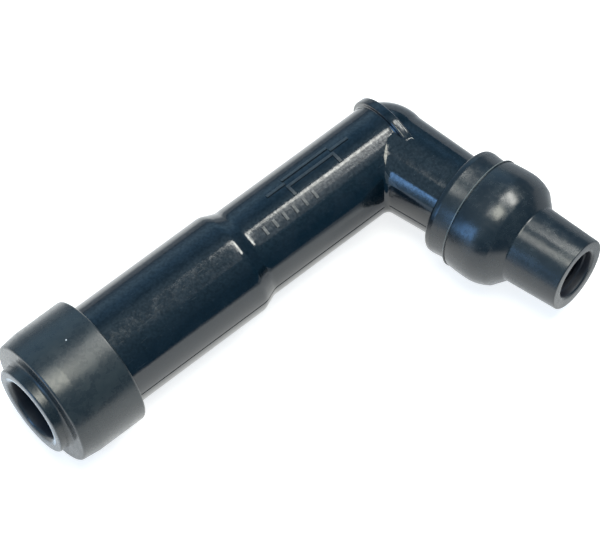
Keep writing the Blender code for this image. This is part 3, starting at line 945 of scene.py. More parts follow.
@dataclass
class Housing:
    """The moulded elbow: two limbs, a rib part of the way round, a parting line, marks and the bores."""

    length: float = NOSE_FACE - 0.0036
    limb_radius: float = 0.00755
    barrel_radius: float = 0.0085
    shoulder: float = 0.0273
    shoulder_length: float = 0.0024
    shoulder_crest_round: float = 0.0026
    shoulder_root_round: float = 0.0026
    edge_round: float = 0.0005
    rib_radius: float = 0.00835
    rib_offset: float = 0.0009
    rib_width: float = 0.0015
    rib_round: float = 0.00035
    ball_steps: int = 36
    bead_setback: float = 0.0045
    bead_width: float = 0.0024
    bead_depth: float = 0.0005
    short_root: float = 0.00738
    short_neck: float = 0.00678
    neck_station: float = 0.0130
    short_length: float = 0.0255
    plug_bore: float = 0.0059
    plug_bore_depth: float = 0.0300
    resistor_bore: float = 0.0033
    resistor_floor: float = 0.0005
    shank_bore: float = 0.0038
    shank_bore_end: float = 0.0290
    lead_bore: float = 0.00385
    lead_bore_floor: float = 0.0090
    stud_bore: float = 0.0019
    stud_floor: float = -0.0023
    mouth_chamfer: float = 0.0005
    flash_height: float = 0.00006
    flash_width: float = 0.00016
    flash_root: float = 0.8
    flash_long_end: float = 0.0536
    flash_short_start: float = 0.0030
    flash_short_end: float = 0.0137
    longest_side: float = 0.0008

    def long_corners(self) -> list[Corner]:
        """Return the outside of the long limb, from its end to the far side of the rib."""
        bead_start = self.length - self.bead_setback
        bead_end = bead_start - self.bead_width
        groove = self.barrel_radius - self.bead_depth
        rib_end = -self.rib_offset - self.rib_width
        return [
            Corner(self.length, 0.0),
            Corner(self.length, self.barrel_radius, self.edge_round),
            Corner(bead_start + self.bead_depth, self.barrel_radius),
            Corner(bead_start, groove),
            Corner(bead_end, groove),
            Corner(bead_end - self.bead_depth, self.barrel_radius),
            Corner(self.shoulder + self.shoulder_length, self.barrel_radius, self.shoulder_crest_round),
            Corner(self.shoulder, self.limb_radius, self.shoulder_root_round),
            Corner(-self.rib_offset, self.limb_radius, self.rib_round),
            Corner(-self.rib_offset, self.rib_radius, self.rib_round),
            Corner(rib_end, self.rib_radius, self.rib_round),
        ]

    def ball(self) -> Outline:
        """Return the round end of the long limb behind the rib."""
        first = math.asin((self.rib_offset + self.rib_width) / self.limb_radius)
        points = []
        for step in range(self.ball_steps):
            angle = first + (math.pi / 2 - first) * step / self.ball_steps
            points.append((-self.limb_radius * math.sin(angle), self.limb_radius * math.cos(angle)))
        return [*points, (-self.limb_radius, 0.0)]

    def long_outline(self) -> Outline:
        """Return the whole outside of the long limb."""
        ball = self.ball()
        return Lathe.rounded([*self.long_corners(), Corner(*ball[0])])[:-1] + ball

    def short_radius(self, station: float) -> float:
        """Return the radius of the tapered short limb."""
        return self.short_root + (self.short_neck - self.short_root) * station / self.neck_station

    def short_outline(self) -> Outline:
        """Return the outside of the short limb, with the bead that the lead boot grips."""
        seat = LeadBoot().seat(0.0)
        return [(0.0, 0.0), (0.0, self.short_root), *[(one.station, one.radius) for one in seat],
                (self.short_length, 0.0)]

    def mouth(self, length: float, bore: float) -> Outline:
        """Return the chamfered start of a hole, from the axis just past a limb's end to the bore's wall."""
        chamfer = self.mouth_chamfer
        past_end = length + chamfer
        return [(past_end, 0.0), (past_end, bore + 2 * chamfer), (length - chamfer, bore)]

    def plug_side_bores(self) -> Outline:
        """Return the stepped hole from the plug's end."""
        floor = self.length - self.plug_bore_depth
        return [
            *self.mouth(self.length, self.plug_bore),
            (floor, self.plug_bore),
            (floor, self.shank_bore),
            (self.shank_bore_end, self.shank_bore),
            (self.shank_bore_end, self.resistor_bore),
            (self.resistor_floor, self.resistor_bore),
            (self.resistor_floor, 0.0),
        ]

    def lead_side_bores(self) -> Outline:
        """Return the stepped hole from the lead's end."""
        return [
            *self.mouth(self.short_length, self.lead_bore),
            (self.lead_bore_floor, self.lead_bore),
            (self.lead_bore_floor, self.stud_bore),
            (self.stud_floor, self.stud_bore),
            (self.stud_floor, 0.0),
        ]

    def flash(self, limb: Limb, side: int) -> Shape:
        """Return the fine raised line that the mould's joint left along one side of a limb.

        Args:
            limb: the limb that it runs along.
            side: 1 for the limb's +Y side, -1 for the other.
        """
        if limb is Limb.LONG:
            outline = [point for point in self.long_outline() if 0.0 < point[0] < self.flash_long_end]
            outline = [(self.flash_long_end, self.barrel_radius), *outline, (0.0, self.limb_radius)]
        else:
            outline = [(at, self.short_radius(at)) for at in (self.flash_short_end, self.flash_short_start)]
        raised = [(station, radius + self.flash_height) for station, radius in outline]
        core = self.limb_radius * self.flash_root
        closed = [(raised[0][0], core), *raised, (raised[-1][0], core)]
        turn = self.flash_width / self.limb_radius
        start = side * math.pi / 2 + turn / 2
        return Bench.lay(Lathe.body("flash_line", closed, 2, turn=turn, start=start), limb)

    def build(self) -> Shape:
        """Return the finished moulding."""
        long_outline = Lathe.stepped(self.long_outline(), self.longest_side)
        short_outline = Lathe.stepped(self.short_outline(), self.longest_side)
        body = Lathe.laid("moulded_housing", long_outline, Limb.LONG, FINE_STEPS)
        limb = Lathe.laid("short_limb", short_outline, Limb.SHORT, FINE_STEPS)
        Bench.combine(body, [limb, Crease().build(self)], Join.UNION)
        lines = [self.flash(one, side) for one in Limb for side in (1, -1)]
        raised = Bench.join([*lines, *MouldedMarks().build(self)])
        Bench.combine(body, [raised], Join.UNION)
        plug_side = Lathe.laid("plug_side", self.plug_side_bores(), Limb.LONG, SMALL_STEPS)
        lead_side = Lathe.laid("lead_side", self.lead_side_bores(), Limb.SHORT, SMALL_STEPS)
        Bench.combine(body, [plug_side, lead_side], Join.CUT)
        Bench.smooth(body)
        return body


@dataclass(frozen=True)
class Crease:
    """The small fillet in the inner angle between the limbs, as a ball rolled along both would leave it."""

    radii: tuple[tuple[float, float], ...] = (
        (13, 0.0020), (42, 0.0019), (58, 0.0008), (82, 0.0008), (100, 0.0013), (167, 0.0013))
    first: float = math.radians(13)
    sections: int = 48
    arc_steps: int = 10
    sink: float = 0.000012
    depth: float = 0.0005
    passes: int = 6

    def radius(self, angle: float) -> float:
        """Return the fillet's radius at an angle in degrees, between the given ones."""
        for (before, low), (after, high) in zip(self.radii, self.radii[1:]):
            if angle <= after:
                share = max(0.0, (angle - before) / (after - before))
                return low + (high - low) * share * share * (3 - 2 * share)
        return self.radii[-1][1]

    def section(self, housing: "Housing", angle: float) -> list[Vector]:
        """Return one closed section of the fillet, in the long limb's frame.

        Args:
            housing: the moulding that it is part of.
            angle: angle round the long limb, from the top towards the short limb.
        """
        turn = LAYOUT.axis(Limb.LONG).angle(LAYOUT.axis(Limb.SHORT))
        radius = self.radius(math.degrees(angle))
        reach = housing.limb_radius + radius
        side, up = reach * math.sin(angle), reach * math.cos(angle)
        along, station = 0.0, 0.0
        for _ in range(self.passes):
            other = housing.short_radius(along) + radius
            out = math.sqrt(max(0.0, other ** 2 - up ** 2))
            station = (out + side * math.cos(turn)) / math.sin(turn)
            along = station * math.cos(turn) + side * math.sin(turn)
        ball = Vector((station, side, up))
        first = Vector((0.0, math.sin(angle), math.cos(angle)))
        second = (ball - Vector((math.cos(turn), math.sin(turn), 0.0)) * along).normalized()
        middle = (first + second).normalized()
        ball = ball - middle * self.sink
        arc = []
        for step in range(self.arc_steps + 1):
            arc.append(ball - first.slerp(second, step / self.arc_steps) * radius)
        inner = ball - (first + second) * (radius + self.depth) / (1 + first.dot(second))
        return [*arc, arc[-1] - second * self.depth, inner, arc[0] - first * self.depth]

    def build(self, housing: "Housing") -> Shape:
        """Return the fillet as a body that overlaps both limbs.

        Args:
            housing: the moulding that it is part of.
        """
        last = math.pi - self.first
        sections = []
        for step in range(self.sections + 1):
            angle = self.first + (last - self.first) * step / self.sections
            sections.append(self.section(housing, angle))
        return Bench.lay(Bench.loft("crease_fillet", sections), Limb.LONG)


@dataclass(frozen=True)
class MouldedMarks:
    """Low raised marks on top of the long limb: the plain sign for a resistor and a row of pips."""

    height: float = 0.00016
    sunk: float = 0.0004
    stroke: float = 0.00048
    sign_angle: float = math.radians(-17)
    sign_half: float = 0.00105
    sign_start: float = 0.0052
    frame_start: float = 0.0084
    frame_end: float = 0.0176
    sign_end: float = 0.0208
    pip_angle: float = math.radians(9)
    pip_start: float = 0.0148
    pip_pitch: float = 0.0019
    pip_length: float = 0.00045
    pip_width: float = 0.0014
    pip_count: int = 6
    side_share: float = 0.98
    bar_steps: int = 6

    def bar(self, housing: "Housing", stations: tuple[float, float], middle: float,
            width: float) -> Shape:
        """Return one raised bar.

        Args:
            housing: the moulding that it stands on.
            stations: where it starts and ends along the limb.
            middle: angle of its middle from the top towards the inner side.
            width: its width round the limb.
        """
        low, high = housing.limb_radius - self.sunk, housing.limb_radius + self.height
        outline = [(stations[0], low), (stations[0], high), (stations[1], high), (stations[1], low)]
        turn = width / housing.limb_radius
        return Lathe.body("raised_bar", outline, self.bar_steps, turn=turn, start=middle + turn / 2)

    def build(self, housing: "Housing") -> list[Shape]:
        """Return the marks in place.

        Args:
            housing: the moulding that they stand on.
        """
        stroke, middle, width = self.stroke, self.sign_angle, 2 * self.sign_half
        side = (self.sign_half - stroke / 2) / housing.limb_radius
        front, back = self.frame_start + stroke / 2, self.frame_end - stroke / 2
        sign = self.bar(housing, (self.frame_start, self.frame_start + stroke), middle, width)
        bars = [
            self.bar(housing, (self.frame_end - stroke, self.frame_end), middle, width),
            self.bar(housing, (front, back), middle - side, stroke * self.side_share),
            self.bar(housing, (front, back), middle + side, stroke * self.side_share),
            self.bar(housing, (self.sign_start, front), middle, stroke),
            self.bar(housing, (back, self.sign_end), middle, stroke),
        ]
        Bench.combine(sign, bars, Join.UNION)
        marks = [Bench.lay(sign, Limb.LONG)]
        for count in range(self.pip_count):
            start = self.pip_start + self.pip_pitch * count
            pip = self.bar(housing, (start, start + self.pip_length), self.pip_angle, self.pip_width)
            marks.append(Bench.lay(pip, Limb.LONG))
        return marks


@dataclass
class PlugBoot:
    """Rubber drum with a nose, on the plug's end of the long limb."""

    grip: float = 0.0097
    drum_radius: float = 0.01055
    drum_front: float = 0.0102
    drum_taper: float = 0.0030
    edge_round: float = 0.0004
    nose_length: float = 0.0020
    nose_radius: float = 0.0073
    root_fillet: float = 0.0007
    mouth_radius: float = 0.00503
    mouth_round: float = 0.0009
    seat_round: float = 0.0009
    # Half width of the band at the nose face that is painted pale.
    pale_band_half: float = 0.0001
    # Radii of the mouth's edge whose upper side carries a painted highlight.
    lip: tuple[float, float] = (0.00508, 0.00610)
    speck: tuple[float, float, float] = (0.0590, -0.00064, 0.01053)

    def build(self, housing: Housing) -> Shape:
        """Return the boot, stretched over the housing's end.

        Args:
            housing: the moulding that it grips.
        """
        inside = housing.barrel_radius + TOUCH
        bead_start = housing.length - housing.bead_setback - TOUCH
        bead_end = bead_start - housing.bead_width + 2 * TOUCH
        bead = inside - housing.bead_depth
        back = housing.length - self.grip
        seat = housing.length + TOUCH
        face = NOSE_FACE - self.nose_length
        corners = [
            Corner(NOSE_FACE, self.mouth_radius, self.mouth_round),
            Corner(NOSE_FACE, self.nose_radius, self.edge_round),
            Corner(face, self.nose_radius, self.root_fillet),
            Corner(face, self.drum_front, self.edge_round),
            Corner(face - self.drum_taper, self.drum_radius, self.drum_taper),
            Corner(back, self.drum_radius, self.edge_round),
            Corner(back, inside, self.edge_round / 3),
            Corner(bead_end - housing.bead_depth, inside),
            Corner(bead_end, bead),
            Corner(bead_start, bead),
            Corner(bead_start + housing.bead_depth, inside),
            Corner(seat, inside),
            Corner(seat, self.mouth_radius, self.seat_round),
        ]
        return Lathe.turned("plug_end_boot", corners, Limb.LONG, FINE_STEPS)

    def rubber(self) -> Rubber:
        """Return the boot's finish, with a speck on the drum, its nose face painted pale and a painted
        highlight on the upper edge of the mouth.
        """
        return Rubber(
            Limb.LONG,
            bore=self.mouth_radius,
            # The nose face is painted pale, and the upper edge of the mouth carries a painted highlight.
            pale_band=(NOSE_FACE - self.pale_band_half, NOSE_FACE + self.pale_band_half),
            edge=(0.12, 0.125, 0.13),
            lip=(*self.lip, NOSE_FACE - self.mouth_round),
            specks=(self.speck,),
        )


@dataclass
class LeadBoot:
    """Rubber boot with a collar, a crowned barrel and a tapered nozzle, on the short limb."""

    collar_station: float = 0.0143
    collar_length: float = 0.0038
    collar_radius: float = 0.0087
    collar_crest: float = 0.0005
    collar_drop: float = 0.0001
    collar_front: float = 0.0084
    collar_round: float = 0.0006
    groove_round: float = 0.00015
    lip_radius: float = 0.00913
    lip_width: float = 0.00028
    step_radius: float = 0.00900
    bulge_radius: float = 0.00925
    bulge_station: float = 0.0221
    bulge_end: float = 0.0252
    bulge_end_radius: float = 0.0084
    bulge_steps: int = 28
    lip_round: float = 0.0001
    nozzle_root: float = 0.0272
    nozzle_root_radius: float = 0.0063
    nozzle_tip_radius: float = 0.0059
    tip_round: float = 0.0002
    root_fillet: float = 0.0004
    mouth_radius: float = 0.00386
    mouth_round: float = 0.0006
    seal_depth: float = 0.0013
    seal_height: float = 0.0002
    seal_width: float = 0.0006
    neck_station: float = 0.0143
    neck_radius: float = 0.006725
    bead_height: float = 0.0006
    bead_width: float = 0.0030
    bead_setback: float = 0.0030
    limb_length: float = 0.0255
    limb_end_radius: float = 0.0062
    # Stations of the lip's crest, which carries a painted highlight.
    pale_band: tuple[float, float] = (0.01808, 0.01826)

    def seat(self, gap: float) -> list[Corner]:
        """Return the surface between the boot and the limb, from the collar to the limb's end.

        Args:
            gap: 0 for the outside of the limb, more for the inside of the boot.
        """
        bead_end = self.limb_length - self.bead_setback
        bead_start = bead_end - self.bead_width
        crest = self.neck_radius + self.bead_height
        return [
            Corner(self.neck_station, self.neck_radius + gap),
            Corner(bead_start - self.bead_height, self.neck_radius + gap),
            Corner(bead_start, crest + gap),
            Corner(bead_end, crest + gap),
            Corner(bead_end + self.bead_height, self.neck_radius + gap),
            Corner(self.limb_length + gap, self.limb_end_radius + gap),
        ]

    def bulge(self) -> list[Corner]:
        """Return the crowned barrel, from its step over the crest to its front edge."""
        start = self.collar_station + self.collar_length + self.lip_width
        points = []
        for step in range(self.bulge_steps + 1):
            station = start + (self.bulge_end - start) * step / self.bulge_steps
            if station < self.bulge_station:
                share = (self.bulge_station - station) / (self.bulge_station - start)
                drop = self.bulge_radius - self.step_radius
            else:
                share = (station - self.bulge_station) / (self.bulge_end - self.bulge_station)
                drop = self.bulge_radius - self.bulge_end_radius
            points.append(Corner(station, self.bulge_radius - drop * share ** 2))
        return points

    def build(self) -> Shape:
        """Return the boot."""
        collar_end = self.collar_station + self.collar_length
        lip_end = collar_end + self.lip_width
        seal_start = LEAD_TIP - self.seal_depth
        seal_end = seal_start - 2 * self.seal_height - self.seal_width
        crest, soft = self.mouth_radius - self.seal_height, self.seal_height / 2
        corners = [
            Corner(self.collar_station, self.collar_radius - self.collar_drop, self.collar_round),
            Corner(self.collar_station + 2 * self.collar_crest, self.collar_radius, self.collar_round),
            Corner(collar_end, self.collar_front, self.groove_round),
            Corner(collar_end, self.lip_radius, self.lip_round),
            Corner(lip_end, self.lip_radius, self.lip_round),
            *self.bulge(),
            Corner(self.nozzle_root, self.nozzle_root_radius, self.root_fillet),
            Corner(LEAD_TIP, self.nozzle_tip_radius, self.tip_round),
            Corner(LEAD_TIP, self.mouth_radius, self.mouth_round),
            Corner(seal_start, self.mouth_radius, soft),
            Corner(seal_start - self.seal_height, crest, soft),
            Corner(seal_end + self.seal_height, crest, soft),
            Corner(seal_end, self.mouth_radius, soft),
            Corner(self.limb_length + TOUCH, self.mouth_radius),
            *reversed(self.seat(TOUCH)),
        ]
        return Lathe.turned("lead_end_boot", corners, Limb.SHORT, FINE_STEPS)

    def rubber(self) -> Rubber:
        """Return the boot's finish, darker and glossier than the drum's, with a painted highlight along the
        step's lip.
        """
        return Rubber(
            Limb.SHORT,
            bore=self.mouth_radius,
            pale_band=self.pale_band,
            satin=0.20,
            dull=0.31,
            colour=(0.0085, 0.0125, 0.0165),
            bloom=(0.018, 0.024, 0.028),
        )


@dataclass(frozen=True)
class PlugTerminal:
    """Turned brass socket for the plug's nut: threaded shank, flange, clip groove, saw cuts and a slot."""

    shank_end: float = 0.0293
    shank_radius: float = 0.0035
    thread_depth: float = 0.0002
    thread_pitch: float = 0.0007
    thread_turns: int = 6
    flange_start: float = 0.0343
    flange_end: float = 0.0358
    flange_radius: float = 0.0054
    socket_radius: float = 0.0046
    socket_end: float = 0.0438
    bore_radius: float = 0.00325
    bore_floor: float = 0.0366
    drill_depth: float = 0.0005
    clip_station: float = 0.0404
    clip_half: float = 0.0007
    groove_radius: float = 0.0041
    cut_inside: float = 0.0026
    cut_outside: float = 0.0049
    slot_width: float = 0.0012
    slot_depth: float = 0.0018
    edge: float = 0.0002

    def shank(self) -> list[Corner]:
        """Return the shank's crests and roots, from its end to the flange."""
        corners = [Corner(self.shank_end, 0.0), Corner(self.shank_end, self.shank_radius - self.thread_depth)]
        for turn in range(self.thread_turns):
            crest = self.shank_end + self.thread_pitch * (turn + 0.5)
            corners.append(Corner(crest, self.shank_radius, self.edge / 4))
            corners.append(Corner(crest + self.thread_pitch / 2, self.shank_radius - self.thread_depth))
        return [*corners, Corner(self.flange_start, self.shank_radius - self.thread_depth)]

    def build(self) -> Shape:
        """Return the terminal."""
        clip_start, clip_end = self.clip_station - self.clip_half, self.clip_station + self.clip_half
        corners = [
            *self.shank(),
            Corner(self.flange_start, self.flange_radius, self.edge),
            Corner(self.flange_end, self.flange_radius, self.edge),
            Corner(self.flange_end, self.socket_radius, self.edge / 2),
            Corner(clip_start, self.socket_radius, self.edge / 2),
            Corner(clip_start, self.groove_radius),
            Corner(clip_end, self.groove_radius),
            Corner(clip_end, self.socket_radius, self.edge / 2),
            Corner(self.socket_end, self.socket_radius, self.edge),
            Corner(self.socket_end, self.bore_radius, self.edge * 1.5),
            Corner(self.bore_floor, self.bore_radius),
            Corner(self.bore_floor - self.drill_depth, 0.0),
        ]
        terminal = Lathe.body("threaded_terminal", Lathe.rounded(corners), SMALL_STEPS)
        cutters = []
        for side in (-1, 1):
            reach = sorted((side * self.cut_inside, side * self.cut_outside))
            low = Vector((clip_start, reach[0], -self.cut_outside))
            cutters.append(Bench.block("clip_cut", low, Vector((clip_end, reach[1], self.cut_outside))))
        low = Vector((self.socket_end - self.slot_depth, -self.cut_outside, -self.slot_width / 2))
        high = Vector((self.socket_end + self.edge, self.cut_outside, self.slot_width / 2))
        cutters.append(Bench.block("driver_slot", low, high))
        Bench.combine(terminal, cutters, Join.CUT)
        return Bench.finished(terminal, Limb.LONG)


@dataclass(frozen=True)
class SnapClip:
    """Bent spring wire that lies in the socket's two saw cuts, with its round back outside."""

    wire: float = 0.0004
    station: float = 0.0404
    leg_offset: float = 0.0033
    leg_tail: float = 0.0034
    back_radius: float = 0.0048
    ease: float = math.radians(8)
    leg_share: float = 0.85
    back_steps: int = 24

    def build(self) -> Shape:
        """Return the clip."""
        corner = math.acos(self.leg_offset / self.back_radius)
        leg_top = self.back_radius * math.sin(corner) * self.leg_share
        places = [Vector((self.station, self.leg_offset, -self.leg_tail)),
                  Vector((self.station, self.leg_offset, leg_top))]
        for step in range(self.back_steps + 1):
            angle = corner + self.ease + (math.pi - 2 * (corner + self.ease)) * step / self.back_steps
            places.append(Wire.place(self.station, self.back_radius, angle))
        places.append(Vector((self.station, -self.leg_offset, leg_top)))
        places.append(Vector((self.station, -self.leg_offset, -self.leg_tail)))
        return Bench.finished(Wire.body("wire_clip", places, self.wire), Limb.LONG)


@dataclass(frozen=True)
class ContactSpring:
    """Coil spring with a closed coil at each end, between the resistor and the terminal."""

    wire: float = 0.00025
    radius: float = 0.0022
    start: float = 0.02188
    end: float = 0.0290
    turns: int = 6
    turn_steps: int = 20
    closed_pitch: float = 0.00052

    def station(self, turn: float) -> float:
        """Return how far along the limb the wire's middle is after some turns."""
        first, last = self.start + self.wire, self.end - self.wire
        if turn <= 1:
            return first + self.closed_pitch * turn
        if turn >= self.turns - 1:
            return last - self.closed_pitch * (self.turns - turn)
        open_length = last - first - 2 * self.closed_pitch
        return first + self.closed_pitch + open_length * (turn - 1) / (self.turns - 2)

    def build(self) -> Shape:
        """Return the spring."""
        places = []
        for step in range(self.turns * self.turn_steps + 1):
            turn = step / self.turn_steps
            places.append(Wire.place(self.station(turn), self.radius, math.tau * turn))
        return Bench.finished(Wire.body("coil_spring", places, self.wire), Limb.LONG)


@dataclass(frozen=True)
class Resistor:
    """Ceramic resistor with a pressed brass cap on each end, and the brass disc behind it."""

    start: float = 0.00388
    end: float = 0.02088
    radius: float = 0.0022
    ring_depth: float = 0.00008
    rings: tuple[float, ...] = (0.0094, 0.0124, 0.0154)
    ring_width: float = 0.0006
    cap_radius: float = 0.0029
    cap_inside: float = 0.0025
    cap_wall: float = 0.0004
    rear_cap: tuple[float, float] = (0.00318, 0.00718)
    front_cap: tuple[float, float] = (0.02158, 0.01758)
    disc: tuple[float, float] = (0.00228, 0.00288)
    dimple: float = 0.0001
    dimple_radius: float = 0.0011
    edge: float = 0.0002

    def rod(self) -> Shape:
        """Return the ceramic body, with three shallow rings where it was ground to its value."""
        corners = [Corner(self.start, 0.0), Corner(self.start, self.radius, self.edge)]
        for ring in self.rings:
            corners.append(Corner(ring, self.radius))
            corners.append(Corner(ring + self.ring_depth, self.radius - self.ring_depth))
            corners.append(Corner(ring + self.ring_width - self.ring_depth, self.radius - self.ring_depth))
            corners.append(Corner(ring + self.ring_width, self.radius))
        corners += [Corner(self.end, self.radius, self.edge), Corner(self.end, 0.0)]
        return Lathe.turned("resistor_body", corners, Limb.LONG, SMALL_STEPS)

    def dimpled(self, face: float, inward: float) -> list[Corner]:
        """Return the pressed-in middle of a flat face, from the axis outwards.

        Args:
            face: station of the face.
            inward: 1 where the metal behind the face is away from the elbow, -1 where it is nearer.
        """
        floor = face + inward * self.dimple
        return [
            Corner(floor, 0.0),
            Corner(floor, self.dimple_radius, self.dimple),
            Corner(face, self.dimple_radius + 2 * self.dimple, self.dimple),
        ]

    def cap(self, name: str, closed: float, opened: float) -> Shape:
        """Return one cap.

        Args:
            name: the cap's name.
            closed: station of its closed end.
            opened: station of its open end.
        """
        inward = math.copysign(1.0, opened - closed)
        floor = closed + inward * self.cap_wall
        corners = [
            *self.dimpled(closed, inward),
            Corner(closed, self.cap_radius, self.edge * 1.5),
            Corner(opened, self.cap_radius, self.edge / 2),
            Corner(opened, self.cap_inside, self.edge / 2),
            Corner(floor, self.cap_inside, self.edge),
            Corner(floor, 0.0),
        ]
        return Lathe.turned(name, corners, Limb.LONG, SMALL_STEPS)

    def contact_disc(self) -> Shape:
        """Return the disc, dimpled where the lead screw presses on it."""
        low, high = self.disc
        corners = [
            *self.dimpled(low, 1.0),
            Corner(low, self.cap_radius, self.edge),
            Corner(high, self.cap_radius, self.edge),
            Corner(high, 0.0),
        ]
        return Lathe.turned("brass_disc", corners, Limb.LONG, SMALL_STEPS)


@dataclass(frozen=True)
class LeadScrew:
    """Brass stud with a flange and a coarse tapering wood screw for the lead's core."""

    stud_end: float = -0.0020
    stud_radius: float = 0.0016
    flange_start: float = 0.0093
    flange_end: float = 0.0103
    flange_radius: float = 0.0033
    core_radius: float = 0.0011
    tip_radius: float = 0.0003
    screw_length: float = 0.0085
    pitch: float = 0.0016
    thread_radius: float = 0.00042
    thread_lift: float = 0.00015
    thread_margin: float = 0.00078
    turn_steps: int = 20
    fade_turns: float = 0.5
    least_share: float = 0.5
    edge: float = 0.0002

    def core(self, station: float) -> float:
        """Return the radius of the tapering core."""
        share = (station - self.flange_end) / self.screw_length
        return self.core_radius + (self.tip_radius - self.core_radius) * share

    def thread(self) -> Shape:
        """Return the thread as a wire that winds round the core and fades at both ends."""
        first = self.flange_end + self.thread_margin
        last = self.flange_end + self.screw_length - self.thread_margin
        count = int((last - first) / self.pitch * self.turn_steps)
        places, shares = [], []
        for step in range(count + 1):
            angle = math.tau * step / self.turn_steps
            station = first + self.pitch * step / self.turn_steps
            turns = min(step + 1, count + 1 - step) / self.turn_steps
            slimmer = (1 - self.least_share) * self.core(station) / self.core_radius
            share = min(1.0, turns / self.fade_turns) * (self.least_share + slimmer)
            radius = self.core(station) + self.thread_lift * share
            places.append(Wire.place(station, radius, angle))
            shares.append(share)
        return Wire.body("thread_ridge", places, self.thread_radius, shares, resolution=2)

    def build(self) -> Shape:
        """Return the screw."""
        tip = self.flange_end + self.screw_length
        corners = [
            Corner(self.stud_end, 0.0),
            Corner(self.stud_end, self.stud_radius, self.edge),
            Corner(self.flange_start, self.stud_radius, self.edge / 2),
            Corner(self.flange_start, self.flange_radius, self.edge),
            Corner(self.flange_end, self.flange_radius, self.edge),
            Corner(self.flange_end, self.core_radius, self.edge),
            Corner(tip, self.tip_radius, self.edge / 2),
            Corner(tip + self.tip_radius, 0.0),
        ]
        screw = Lathe.body("wood_screw_stud", Lathe.rounded(corners), SMALL_STEPS)
        Bench.combine(screw, [self.thread()], Join.UNION)
        return Bench.finished(screw, Limb.SHORT)


@dataclass(frozen=True)
class Viewpoint:
    """The camera that took the photograph, about the elbow, in a picture of 600 by 560 pixels.

    Attributes:
        azimuth: turn of the view about the elbow's up direction.
        altitude: height of the eye above the plane of the limbs.
        roll: turn of the picture.
        distance: how far the eye is from the elbow point.
        focal: focal length in pixels.
        elbow_x: pixel column of the elbow point.
        elbow_y: pixel row of the elbow point.
    """

    azimuth: float = math.radians(-34.225)
    altitude: float = math.radians(59.588)
    roll: float = math.radians(-6.232)
    distance: float = 0.59607
    focal: float = 3947.221
    elbow_x: float = 383.245
    elbow_y: float = 151.807
    picture_width: float = 600.0
    picture_height: float = 560.0
    sensor: float = 36.0
    clip: tuple[float, float] = (0.01, 50.0)

    def build(self) -> Shape:
        """Add the camera and make it the scene's."""
        back = Vector((math.sin(self.azimuth) * math.cos(self.altitude),
                       -math.cos(self.azimuth) * math.cos(self.altitude), math.sin(self.altitude)))
        level = Vector((math.cos(self.azimuth), math.sin(self.azimuth), 0.0))
        upright = back.cross(level)
        right = level * math.cos(self.roll) + upright * math.sin(self.roll)
        top = upright * math.cos(self.roll) - level * math.sin(self.roll)
        scale = self.distance / self.focal
        across = (self.elbow_x - self.picture_width / 2) * scale
        down = (self.elbow_y - self.picture_height / 2) * scale
        eye = back * self.distance - right * across + top * down
        long_axis, up = LAYOUT.axis(Limb.LONG), LAYOUT.up()
        world = Matrix((-long_axis, up.cross(-long_axis), up)).transposed()
        turn = Matrix([world @ axis for axis in (right, top, back)]).transposed().to_4x4()
        bpy.ops.object.select_all(action="DESELECT")
        bpy.ops.object.camera_add()
        camera = bpy.context.object
        camera.matrix_world = Matrix.Translation(LAYOUT.elbow() + world @ eye) @ turn
        camera.data.sensor_width = self.sensor
        camera.data.lens = self.focal * self.sensor / self.picture_width
        camera.data.clip_start, camera.data.clip_end = self.clip
        bpy.context.scene.camera = camera
        return camera


@dataclass(frozen=True)
class SoftLamp:
    """A flat rectangular lamp that faces down, or the origin where it is aimed."""

    name: str
    place: tuple[float, float, float]
    size: tuple[float, float]
    colour: Colour
    brightness: float
    aimed: bool = False

    def build(self) -> Shape:
        """Add the lamp, with its brightness spread over its area."""
        bpy.ops.object.light_add(type="AREA", location=self.place)
        lamp = bpy.context.object
        lamp.name = self.name
        lamp.data.shape = "RECTANGLE"
        lamp.data.size, lamp.data.size_y = self.size
        lamp.data.color = self.colour
        lamp.data.energy = self.brightness * math.pi * self.size[0] * self.size[1]
        if self.aimed:
            lamp.rotation_euler = Vector(self.place).to_track_quat("Z", "Y").to_euler()
        return lamp


